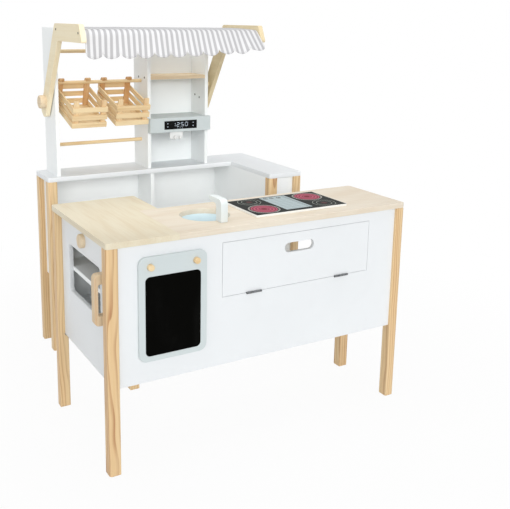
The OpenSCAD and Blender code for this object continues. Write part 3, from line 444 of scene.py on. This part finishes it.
# One white board paint in two copies: a dimmer one that paints shade on the brightly lit kitchen boards,
# and a brighter one that paints light into the stall's recesses and the oven's inside
DIMMED_WHITE = (232, 235, 237)
BRIGHTENED_WHITE = (249, 252, 252)
BLUE_PAINT = (204, 213, 214)
SINK_BLUE = (222, 238, 243)
WHITE_PLASTIC = (240, 241, 240)
ZINC_BRIGHT = (132, 134, 136)
ZINC_DULL = (92, 94, 97)
SCREW_BRIGHT = (78, 76, 74)
SCREW_DULL = (46, 45, 44)

SLATE_BLACK = (5, 5, 4)
SLATE_DUST = (34, 34, 33)
SCREEN_BLACK = (8, 9, 10)
SCREEN_SMEAR = (20, 22, 24)
DIGIT_LIGHT = (196, 206, 216)
DIGIT_DIM = (150, 164, 178)

HOB_BLACK = (30, 33, 31)
HOB_SPECK = (46, 49, 46)
HOB_BORDER = (236, 236, 232)
HOB_EDGE = (238, 238, 234)
HOT_BRIGHT = (186, 92, 112)
HOT_DARK = (128, 58, 74)
HOT_CORE = (112, 40, 50)
HOT_LINE = (188, 184, 178)
COLD_CORE = (96, 60, 60)
COLD_LINE = (176, 180, 172)
STRIP_PALE = (176, 189, 191)
STRIP_GRID = (128, 140, 143)
STRIP_RAIL = (92, 100, 102)
DIAL_DARK = (52, 58, 60)
DIAL_LINE = (214, 220, 220)
HOT_RING_R = 37
HOT_RING_PITCH = 4.5
HOT_RINGS = ((56, 54, 0), (248, 124, 0))
HOT_OUTLINES = (41, 43.5)
COLD_RINGS = ((59, 138, 0), (247, 39, 0))
COLD_OUTLINES = (22, 33)
STRIP_MIDDLE = 151
STRIP_W = 86
STRIP_FRONT = 20
STRIP_L = 146
STRIP_CELL = 19
DIAL_R = 7
STRIP_DIALS = ((122, 152, 0), (142, 152, 0), (164, 148, 0))

WEAVE_PITCH = 0.9
STITCH_PITCH = 1.6
STITCH_IN = 5
CLOTH_WHITE = (218, 218, 219)
CLOTH_GREY = (177, 176, 178)
CLOTH_SHADE = (160, 160, 164)
STITCH_GREY = (168, 168, 170)
SCALLOPS = 11
STRIPES_PER_SCALLOP = 3
cloth_low, cloth_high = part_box("awning_cloth")
CLOTH_W = cloth_high.x - cloth_low.x
STRIPE_PITCH = CLOTH_W / SCALLOPS / STRIPES_PER_SCALLOP / MM

FLOOR_PALE = (238, 238, 238)
FLOOR_SPECK = (232, 232, 232)
FLOOR_WHITE_SHARE = 0.94
FLOOR_SHADE_R = 0.7
FLOOR_PLAIN_R = 1.6

PINE = pine_finish()
WORKTOP = birch_finish("worktop_birch", WORKTOP_PALE, WORKTOP_SHADE, PLY_PITCH, ply_contrast=0.12)
LEFT_TOP = birch_finish("left_worktop_birch", LEFT_TOP_PALE, LEFT_TOP_SHADE, PLY_PITCH,
                        ply_contrast=0.12)
ARM_BIRCH = birch_finish("arm_birch", ARM_PALE, ARM_SHADE, PLY_PITCH, ply_contrast=0.2)
SHADED_ARM_BIRCH = birch_finish("shaded_arm_birch", SHADED_ARM_PALE, SHADED_ARM_SHADE, PLY_PITCH, ply_contrast=0.2)
BARE_WOOD = bare_wood_finish("pale_wood", BARE_PALE, BARE_SHADE, BARE_DARK)
POST_WOOD = bare_wood_finish("crate_post_wood", POST_PALE, REAR_POST_PAINTED_SHADE, POST_DARK)
TURNED_WOOD = bare_wood_finish("turned_wood", TURNED_PALE, TURNED_SHADE, TURNED_DARK)
# Painted light and shade: the same white paint as a brighter and a dimmer copy
WHITE = paint_finish("white_paint", BRIGHTENED_WHITE, roughness=0.4)
DIMMED_WHITE_PAINT = paint_finish("dimmed_white_paint", DIMMED_WHITE, roughness=0.4)
BLUE_GREY = paint_finish("pale_blue_paint", BLUE_PAINT, roughness=0.42)
PALE_BLUE = paint_finish("tap_paint", TAP_PAINT, roughness=0.42)
SINK = plastic_finish("sink_plastic", SINK_BLUE, roughness=0.3)
HOOK_WHITE = plastic_finish("hook_plastic", WHITE_PLASTIC, roughness=0.4)
STEEL = steel_finish("hinge_steel", ZINC_BRIGHT, ZINC_DULL)
SCREW_STEEL = steel_finish("screw_steel", SCREW_BRIGHT, SCREW_DULL)
SLATE = slate_finish()
SCREEN = screen_finish()
DIGITS = digit_finish()
HOB = hob_finish()
STRIPES = awning_finish()
FLOOR = floor_finish()


# Pieces made from the frame's boards

SHARP_EDGE = math.radians(35)
FLAT_JOIN = math.radians(0.6)
WELD = 0.002 * MM
CRATE_TILT = math.radians(17)


def islands(bm):
    """The separate pieces of a mesh, each as a list of vertices."""
    left = set(bm.verts)
    found = []
    for start in bm.verts:
        if start not in left:
            continue
        left.discard(start)
        piece = [start]
        for vert in piece:
            for edge in vert.link_edges:
                other = edge.other_vert(vert)
                if other in left:
                    left.discard(other)
                    piece.append(other)
        found.append(piece)
    return found


def lay_grain(bm, turn, pith, tone_range):
    """Gives each separate piece its own timber: grain along its longest side, from its own pith."""
    grain = bm.verts.layers.float_vector.new("grain")
    tone = bm.verts.layers.float.new("tone")
    unturned = Matrix.Rotation(-turn, 3, "X")
    for piece in islands(bm):
        spots = [unturned @ vert.co for vert in piece]
        low = Vector([min(spot[i] for spot in spots) for i in range(3)])
        high = Vector([max(spot[i] for spot in spots) for i in range(3)])
        size = high - low
        order = sorted(range(3), key=lambda i: -size[i])
        middle = (low + high) / 2
        start = Vector((rng.uniform(0, 9), rng.choice((-1, 1)) * rng.uniform(*pith),
                        rng.choice((-1, 1)) * rng.uniform(*pith)))
        shade = rng.uniform(*(tone_range(size) if callable(tone_range) else tone_range))
        for vert, spot in zip(piece, spots):
            local = spot - middle
            vert[grain] = start + Vector([local[i] for i in order])
            vert[tone] = shade


def shade_curves(bm, easing):
    """Smooths the eased edges and the curved faces, and leaves the flat faces of boards flat."""
    eased_faces = {face for face in bm.faces if face.calc_area() < easing * face.calc_perimeter()}
    for face in bm.faces:
        face.smooth = face in eased_faces
    curves = [e for e in bm.edges if e.is_manifold and FLAT_JOIN < e.calc_face_angle() < SHARP_EDGE]
    for curve in curves:
        if eased_faces.isdisjoint(curve.link_faces):
            for face in curve.link_faces:
                face.smooth = True


def show(name, bm, finish, body):
    """Makes a mesh into a piece that rides on a body and takes a slot's finish."""
    mesh = bpy.data.meshes.new(name)
    curved = [face.smooth for face in bm.faces]
    bm.to_mesh(mesh)
    bm.free()
    mesh.set_sharp_from_angle(angle=SHARP_EDGE)
    mesh.polygons.foreach_set("use_smooth", curved)
    mesh.materials.append(finish.material)
    piece = bpy.data.objects.new(name, mesh)
    bpy.context.scene.collection.objects.link(piece)
    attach(piece, body)
    return piece


def bevel(bm, edges, offset, segments):
    """Rounds edges, or cuts them flat with one segment."""
    bmesh.ops.bevel(bm, geom=edges, offset=offset, offset_type="OFFSET", segments=segments, profile=0.5,
                    affect="EDGES", clamp_overlap=True, material=-1)


def eased(node, finish, edge, segments=2, grain=None):
    """A copy of a board from the frame with its sharp edges eased, which stands for the board."""
    bm = bmesh.new()
    bm.from_mesh(frame["nodes"][node].data)
    bmesh.ops.remove_doubles(bm, verts=bm.verts, dist=WELD)
    bmesh.ops.dissolve_limit(bm, angle_limit=FLAT_JOIN, verts=bm.verts, edges=bm.edges)
    if edge:
        sharp = [e for e in bm.edges if e.is_manifold and e.calc_face_angle() > SHARP_EDGE]
        bevel(bm, sharp, edge, segments)
    shade_curves(bm, edge)
    if grain:
        lay_grain(bm, *grain)
    piece = show(node + "_finished", bm, finish, BODY_OF[node])
    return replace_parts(piece, node)


def nodes_of(slot):
    """The frame's parts that share a material slot."""
    return [node for node, its_slot in SLOT_OF.items() if its_slot == slot]


# Timber grain: the turn of the piece, how far off its pith lies, and its range of tone
LEG_GRAIN = (0.0, (12 * MM, 40 * MM), (0.1, 0.7))
STRONG_LEG_GRAIN = (0.0, (8 * MM, 16 * MM), (0.9, 1.0))
BOARD_GRAIN = (0.0, (0.0, 0.0), (0.0, 1.0))
BARE_GRAIN = (0.0, (0.0, 0.1), (0.0, 0.8))
CRATE_GRAIN = (CRATE_TILT, (0.0, 0.1), (0.0, 1.0))
HOOK_DEPTH = 12 * MM
# The rear posts, deeper for their hooks, get a dark tone as painted shade; the front posts get a pale
# one
POST_GRAIN_AND_REAR_SHADE = (CRATE_TILT, (0.0, 0.1), lambda size: (0.85, 1.0) if size.y > HOOK_DEPTH else (0.0, 0.15))
STRONG_LEGS = ("kitchen_front_left_leg", "wing_left_leg")
# Boards that fit closely against others get finer eased edges. They also take a dimmer copy of the white
# paint, which is painted shade where these boards catch the most light
FITTED_DIMMED_BOARDS = ("front_panel", "flap_board", "oven_door_panel", "kitchen_end_panel", "stall_counter")

# How far edges are eased; turned pieces keep the frame's own
ROUND = 0
LEG_EDGE = 1.6 * MM
TOP_EDGE = 1.4 * MM
ARM_EDGE = 2.0 * MM
PAINT_EDGE = 0.7 * MM
FITTED_EDGE = 0.25 * MM
SLAT_EDGE = 0.7 * MM
HANDLE_EDGE = 1.8 * MM

for leg in nodes_of("pine"):
    eased(leg, PINE, LEG_EDGE, grain=STRONG_LEG_GRAIN if leg in STRONG_LEGS else LEG_GRAIN)
eased("worktop_left", LEFT_TOP, TOP_EDGE, segments=3, grain=BOARD_GRAIN)
eased("worktop_right", WORKTOP, TOP_EDGE, segments=3, grain=BOARD_GRAIN)
# Left arm in the brightened birch as painted light, right arm in the darkened birch as painted shade
eased("left_awning_arm", ARM_BIRCH, ARM_EDGE, segments=3, grain=BOARD_GRAIN)
eased("right_awning_arm", SHADED_ARM_BIRCH, ARM_EDGE, segments=3, grain=BOARD_GRAIN)
# Fitted boards take the dimmed white as painted shade; the other white boards take the brightened white
# as painted light
for board in nodes_of("white_board"):
    if board in FITTED_DIMMED_BOARDS:
        eased(board, DIMMED_WHITE_PAINT, FITTED_EDGE)
    else:
        eased(board, WHITE, PAINT_EDGE)
for board in nodes_of("pale_blue_paint"):
    eased(board, PALE_BLUE if board == "tap" else BLUE_GREY, PAINT_EDGE)
for crate in ("left_crate", "right_crate"):
    eased(crate + "_boards", BARE_WOOD, SLAT_EDGE, grain=CRATE_GRAIN)
    eased(crate + "_posts", POST_WOOD, SLAT_EDGE, grain=POST_GRAIN_AND_REAR_SHADE)
for wood, edge in (("upper_shelf", PAINT_EDGE), ("oven_door_handle", HANDLE_EDGE)):
    eased(wood, TURNED_WOOD, edge, segments=3, grain=BARE_GRAIN)
for turned in ("oven_knob", "hanging_knob"):
    eased(turned, TURNED_WOOD, ROUND, grain=BARE_GRAIN)
for rod in ("rails", "awning_rods", "chalkboard_pegs"):
    eased(rod, BARE_WOOD, ROUND, grain=BARE_GRAIN)
eased("hob_plate", HOB, PAINT_EDGE)
eased("chalkboard_slate", SLATE, SLAT_EDGE)
eased("display_screen", SCREEN, SLAT_EDGE)
eased("display_hook", HOOK_WHITE, SLAT_EDGE)
eased("sink_bowl", SINK, SLAT_EDGE)
for metal in nodes_of("hinge_steel"):
    frame["nodes"][metal].data.materials.clear()
    frame["nodes"][metal].data.materials.append(STEEL.material)


# Awning cloth

SHEET_COLUMNS = 24 * SCALLOPS
SHEET_ROWS = 96
SHEET_T = 1.2 * MM
SLEEVE_TURN = math.radians(240)
ROD_CLEAR = 0.4 * MM
CROWN = 2 * MM
CROWN_CHANGE = 0.4
SCALLOP_H = 17.5 * MM
BEND_R = 20 * MM
VALANCE_L = 63 * MM
FLARE_L = 86 * MM
FLARE_LEFT = 2 * MM
FLARE_RIGHT = 63 * MM
FLARE_POWER = 1.3
WAVE_OUT = 4 * MM

ROD_R = 6 * MM
rods_low, rods_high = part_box("awning_rods")
FRONT_ROD = Vector((0, rods_low.y + ROD_R, rods_low.z + ROD_R))
BACK_ROD = Vector((0, rods_high.y - ROD_R, rods_high.z - ROD_R))
WRAP_R = ROD_R + ROD_CLEAR + SHEET_T / 2
SLEEVE_L = SLEEVE_TURN * WRAP_R
# The cloth turns down in a wider round than the front rod's own, and touches the rod half way round
BEND_MIDDLE = FRONT_ROD + (BEND_R - WRAP_R) * math.sqrt(0.5) * Vector((0, 1, -1))
SPAN_START = BACK_ROD + Vector((0, 0, WRAP_R))
SPAN_END = BEND_MIDDLE + Vector((0, 0, BEND_R))
SPAN_L = (SPAN_END - SPAN_START).length
TURN_L = math.pi / 2 * BEND_R
SHEET_L = SLEEVE_L + SPAN_L + TURN_L + VALANCE_L


def hem_rise(across):
    """How much shorter the valance is at a place between two scallops than at a scallop's middle."""
    share = across / CLOTH_W * SCALLOPS % 1.0
    side = min(1.0, abs(2 * share - 1))
    return SCALLOP_H * (1 - math.sqrt(1 - side * side))


def wave(across):
    """Swing of the hanging valance at a place across the cloth, from -1 to 1 or a little more."""
    turns = across / CLOTH_W * SCALLOPS
    slow = 0.75 * math.sin(math.pi * turns + 0.6) * (1 + 0.35 * math.sin(0.57 * turns + 1.0))
    quick = 0.3 * math.sin(2 * math.pi * turns + 1.3 * math.sin(0.8 * turns))
    return slow + quick


def lean(across):
    """How far the valance leans out of the vertical at a place across the cloth, as an angle."""
    out = FLARE_LEFT + (FLARE_RIGHT - FLARE_LEFT) * (across / CLOTH_W) ** FLARE_POWER
    return math.asin(out / FLARE_L)


def sheet_place(across, along):
    """Where a point of the flat cloth hangs: round the back rod, over the front rod and down."""
    side = Vector((cloth_low.x + across, 0, 0))

    def on_round(middle, radius, angle):
        return side + middle + radius * Vector((0, math.cos(angle), math.sin(angle)))

    if along < SLEEVE_L:
        return on_round(BACK_ROD, WRAP_R, math.pi / 2 - (SLEEVE_L - along) / WRAP_R)
    along -= SLEEVE_L
    if along < SPAN_L:
        share = along / SPAN_L
        crown = CROWN * (1 + CROWN_CHANGE * wave(across * 0.7)) * 4 * share * (1 - share)
        return side + SPAN_START.lerp(SPAN_END, share) + Vector((0, 0, crown))
    along -= SPAN_L
    angle = lean(across)
    turn_l = BEND_R * (math.pi / 2 - angle)
    if along < turn_l:
        return on_round(BEND_MIDDLE, BEND_R, math.pi / 2 + along / BEND_R)
    drop = along - turn_l
    swing = WAVE_OUT * wave(across) * (drop / VALANCE_L) ** 1.3
    down = Vector((0, -math.sin(angle), -math.cos(angle)))
    outward = Vector((0, -math.cos(angle), math.sin(angle)))
    return on_round(BEND_MIDDLE, BEND_R, math.pi - angle) + drop * down + swing * outward


def awning_sheet():
    """The striped cloth as one sheet with a scalloped hem, and its flat coordinates for the pattern."""
    bm = bmesh.new()
    bmesh.ops.create_grid(bm, x_segments=SHEET_COLUMNS, y_segments=SHEET_ROWS, size=0.5)
    cloth = bm.verts.layers.float_vector.new("cloth")
    for vert in bm.verts:
        across = min(CLOTH_W, max(0.0, (vert.co.x + 0.5) * CLOTH_W))
        length = SHEET_L - hem_rise(across)
        along = (0.5 - vert.co.y) * length
        vert[cloth] = (across, along, length - along)
        vert.co = sheet_place(across, along)
    bmesh.ops.recalc_face_normals(bm, faces=bm.faces)
    for face in bm.faces:
        face.smooth = True
    area = sum(face.calc_area() for face in bm.faces)
    piece = show("awning_sheet", bm, STRIPES, "frame")
    thick = piece.modifiers.new("thickness", "SOLIDIFY")
    thick.thickness = SHEET_T
    thick.offset = 0.0
    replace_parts(piece, "awning_cloth")
    min(area, CLOTH_W * SHEET_L)
    return piece


awning_sheet()


# Display digits and marks on the screen

SCREEN_PRINT_T = 0.4 * MM
DIGIT_W = 9.5
DIGIT_H = 12.8
DIGIT_PITCH = 16
DIGIT_BAR = 2.2
SHOWN_DIGITS = (1, 2, 5, 0)
# The lit bars of a digit: top, upper left, upper right, middle, lower left, lower right, bottom
BARS_OF = {
    0: (1, 1, 1, 0, 1, 1, 1),
    1: (0, 0, 1, 0, 0, 1, 0),
    2: (1, 0, 1, 1, 1, 0, 1),
    5: (1, 1, 0, 1, 0, 1, 1),
}
BAR_PLACES = ((0, 1, True), (-1, 0.5, False), (1, 0.5, False), (0, 0, True),
              (-1, -0.5, False), (1, -0.5, False), (0, -1, True))
SIDE_MARK_SIZE = (5, 3)
SIDE_MARK_XS = (-50, 48)
SIDE_MARK_ZS = (-5, 6)
DOT_SIZE = (3, 2)
DOT_XS = (-12, -3, 6)
DOT_Z = -11
DIGITS_X = -2.5
DIGITS_Z = 1.5


def print_mark(bm, centre, width, height):
    """One thin lit mark on the screen's face, with its corners cut."""
    made = bmesh.ops.create_cube(bm, size=1.0)
    verts = made["verts"]
    bmesh.ops.scale(bm, vec=(width * MM, SCREEN_PRINT_T, height * MM), verts=verts)
    bmesh.ops.translate(bm, vec=centre, verts=verts)
    upright = [e for v in verts for e in v.link_edges
               if abs(e.verts[0].co.y - e.verts[1].co.y) > SCREEN_PRINT_T / 2]
    cut = min(width, height) * 0.45 * MM
    bevel(bm, list(set(upright)), cut, segments=1)


def display_marks():
    """Plain till digits with a point, and small marks beside and below them."""
    low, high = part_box("display_screen")
    middle = Vector(((low.x + high.x) / 2, low.y, (low.z + high.z) / 2))
    bm = bmesh.new()

    def at(x, z):
        return middle + Vector((x * MM, 0, z * MM))

    for place, digit in enumerate(SHOWN_DIGITS):
        left = DIGITS_X + (place - (len(SHOWN_DIGITS) - 1) / 2) * DIGIT_PITCH
        for lit, (side, rise, level) in zip(BARS_OF[digit], BAR_PLACES):
            if not lit:
                continue
            spot = at(left + side * DIGIT_W / 2, DIGITS_Z + rise * DIGIT_H / 2)
            if level:
                print_mark(bm, spot, DIGIT_W - DIGIT_BAR * 0.7, DIGIT_BAR)
            else:
                print_mark(bm, spot, DIGIT_BAR, DIGIT_H / 2 - DIGIT_BAR * 0.6)
    print_mark(bm, at(DIGITS_X, DIGITS_Z - DIGIT_H / 2), DIGIT_BAR, DIGIT_BAR)
    for x in DOT_XS:
        print_mark(bm, at(x, DOT_Z), *DOT_SIZE)
    for x in SIDE_MARK_XS:
        for z in SIDE_MARK_ZS:
            print_mark(bm, at(x, z), *SIDE_MARK_SIZE)
    return show("display_marks", bm, DIGITS, "frame")


display_marks()


# Screw heads

SCREW_R = 3.4 * MM
SCREW_H = 1.0 * MM
SCREW_PROUD = 0.5 * MM
SOCKET_R = 2.2 * MM
SOCKET_DEPTH = 0.4 * MM
# Screws that hold the right arm: how far behind the panel's front and how high above the counter
ARM_SCREWS = ((43, 235), (77, 242))
# Screws in the shelf's ends: how far back along its depth, as a share
SHELF_SCREW_SHARES = (0.24, 0.71)


def screw_heads(name, places, axis):
    """Low screw heads with a round socket, given by their middles and the direction that they face."""
    bm = bmesh.new()
    turn = Vector((0, 0, 1)).rotation_difference(Vector(axis)).to_matrix()
    for place in places:
        made = bmesh.ops.create_cone(bm, cap_ends=True, segments=20, radius1=SCREW_R, radius2=SCREW_R,
                                     depth=SCREW_H)
        head = {face for vert in made["verts"] for face in vert.link_faces}
        top = max(head, key=lambda face: face.calc_center_median().z)
        rim = bmesh.ops.inset_region(bm, faces=[top], thickness=SCREW_R - SOCKET_R, depth=0.0)
        bmesh.ops.translate(bm, vec=(0, 0, -SOCKET_DEPTH), verts=top.verts)
        verts = list({vert for face in [*head, *rim["faces"]] for vert in face.verts})
        bmesh.ops.rotate(bm, matrix=turn, verts=verts)
        middle = Vector(place) + Vector(axis) * (SCREW_PROUD - SCREW_H / 2)
        bmesh.ops.translate(bm, vec=middle, verts=verts)
    bmesh.ops.recalc_face_normals(bm, faces=bm.faces)
    return show(name, bm, SCREW_STEEL, "frame")


def rod_screws():
    """Screws at the rods' ends in the arms, at the shelf's ends and where the right arm is fixed."""
    left_low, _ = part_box("left_awning_arm")
    _, right_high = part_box("right_awning_arm")
    rods = (FRONT_ROD, BACK_ROD)
    screw_heads("left_arm_screws", [(left_low.x, rod.y, rod.z) for rod in rods], (-1, 0, 0))
    screw_heads("right_arm_screws", [(right_high.x, rod.y, rod.z) for rod in rods], (1, 0, 0))
    shelf_low, shelf_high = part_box("upper_shelf")
    divider_low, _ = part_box("upper_divider")
    panel_low, panel_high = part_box("right_panel")
    depth = shelf_high.y - shelf_low.y
    shelf_ys = [shelf_low.y + depth * share for share in SHELF_SCREW_SHARES]
    shelf_z = (shelf_low.z + shelf_high.z) / 2
    screw_heads("divider_screws", [(divider_low.x, y, shelf_z) for y in shelf_ys], (-1, 0, 0))
    screw_heads("right_panel_screws", [(panel_high.x, y, shelf_z) for y in shelf_ys], (1, 0, 0))
    arm_spots = [(panel_low.x, panel_low.y + deep * MM, panel_low.z + up * MM)
                 for deep, up in ARM_SCREWS]
    screw_heads("arm_fixing_screws", arm_spots, (-1, 0, 0))


rod_screws()


# Floor, lights and camera

FLOOR_SIZE = 24.0
FLOOR_DROP = 0.5 * MM

floor_mesh = bmesh.new()
bmesh.ops.create_grid(floor_mesh, x_segments=1, y_segments=1, size=FLOOR_SIZE / 2,
                      matrix=Matrix.Translation((0, 0, -FLOOR_DROP)))
floor_data = bpy.data.meshes.new("studio_floor")
floor_mesh.to_mesh(floor_data)
floor_mesh.free()
floor_data.materials.append(FLOOR.material)
floor = bpy.data.objects.new("studio_floor", floor_data)
bpy.context.scene.collection.objects.link(floor)

AMBIENT = 0.47
SKY_TINT = (0.985, 0.995, 1.0, 1.0)


def studio_world():
    """Even ambient light, with a white backdrop where the camera and reflections see it."""
    world = bpy.data.worlds.new("studio")
    bpy.context.scene.world = world
    world.use_nodes = True
    nodes = world.node_tree.nodes
    links = world.node_tree.links
    light = nodes["Background"]
    light.inputs["Color"].default_value = SKY_TINT
    light.inputs["Strength"].default_value = AMBIENT
    backdrop = nodes.new("ShaderNodeBackground")
    backdrop.inputs["Color"].default_value = (1, 1, 1, 1)
    backdrop.inputs["Strength"].default_value = 1.0
    path = nodes.new("ShaderNodeLightPath")
    shown = nodes.new("ShaderNodeMixShader")
    seen = path.outputs["Is Camera Ray"]
    for kind in ("Is Glossy Ray", "Is Transmission Ray"):
        either = nodes.new("ShaderNodeMath")
        either.operation = "MAXIMUM"
        links.new(seen, either.inputs[0])
        links.new(path.outputs[kind], either.inputs[1])
        seen = either.outputs[0]
    links.new(seen, shown.inputs[0])
    links.new(light.outputs[0], shown.inputs[1])
    links.new(backdrop.outputs[0], shown.inputs[2])
    links.new(shown.outputs[0], nodes["World Output"].inputs["Surface"])


studio_world()


def soft_box(name, place, target, size, power, hidden=False):
    """A square area lamp aimed at a point, out of sight of the camera and of reflections if hidden."""
    lamp = bpy.data.lights.new(name, "AREA")
    lamp.shape = "SQUARE"
    lamp.size = size
    lamp.energy = power
    box = bpy.data.objects.new(name, lamp)
    box.location = place
    box.rotation_mode = "QUATERNION"
    box.rotation_quaternion = (Vector(target) - Vector(place)).to_track_quat("-Z", "Y")
    box.visible_camera = not hidden
    box.visible_glossy = not hidden
    bpy.context.scene.collection.objects.link(box)


def far_light(name, origin, spread, strength):
    """A large far lamp, given by the direction that it shines from and the angle that it fills."""
    lamp = bpy.data.lights.new(name, "SUN")
    lamp.angle = math.radians(spread)
    lamp.energy = strength
    far = bpy.data.objects.new(name, lamp)
    far.rotation_mode = "QUATERNION"
    far.rotation_quaternion = (-Vector(origin)).to_track_quat("-Z", "Y")
    bpy.context.scene.collection.objects.link(far)


LIGHT_TARGET = (0, 0, 0.55)
STALL_TARGET = (0.05, 0.4, 0.8)
far_light("camera_side_light", origin=(-0.45, -0.87, 0.25), spread=25, strength=0.67)
far_light("front_light", origin=(0.0, -1.0, 0.3), spread=25, strength=0.85)
far_light("left_light", origin=(-1.0, -0.3, 0.4), spread=40, strength=0.36)
soft_box("top_box", place=(0, 0, 4.5), target=LIGHT_TARGET, size=3.0, power=64)
# A weak fill over the kitchen counter for the stall's recesses
soft_box("stall_fill", place=(-0.2, -0.35, 1.05), target=STALL_TARGET, size=0.6, power=0.75, hidden=True)

# Camera at the photograph's viewpoint: its picture is cropped off centre, so the lens is shifted
CAMERA_PLACE = (-1.0398, -2.0413, 1.1103)
CAMERA_TURN = (78.129, -0.734, -29.431)
CAMERA_LENS = 53.449
SENSOR_W = 36.0
CAMERA_SHIFT = (0.0598, -0.1491)

lens = bpy.data.cameras.new("photo_view")
lens.sensor_fit = "HORIZONTAL"
lens.sensor_width = SENSOR_W
lens.lens = CAMERA_LENS
lens.shift_x, lens.shift_y = CAMERA_SHIFT
camera = bpy.data.objects.new("photo_view", lens)
camera.location = CAMERA_PLACE
camera.rotation_euler = [math.radians(angle) for angle in CAMERA_TURN]
bpy.context.scene.collection.objects.link(camera)
bpy.context.scene.camera = camera
bpy.context.scene.view_settings.view_transform = "Standard"
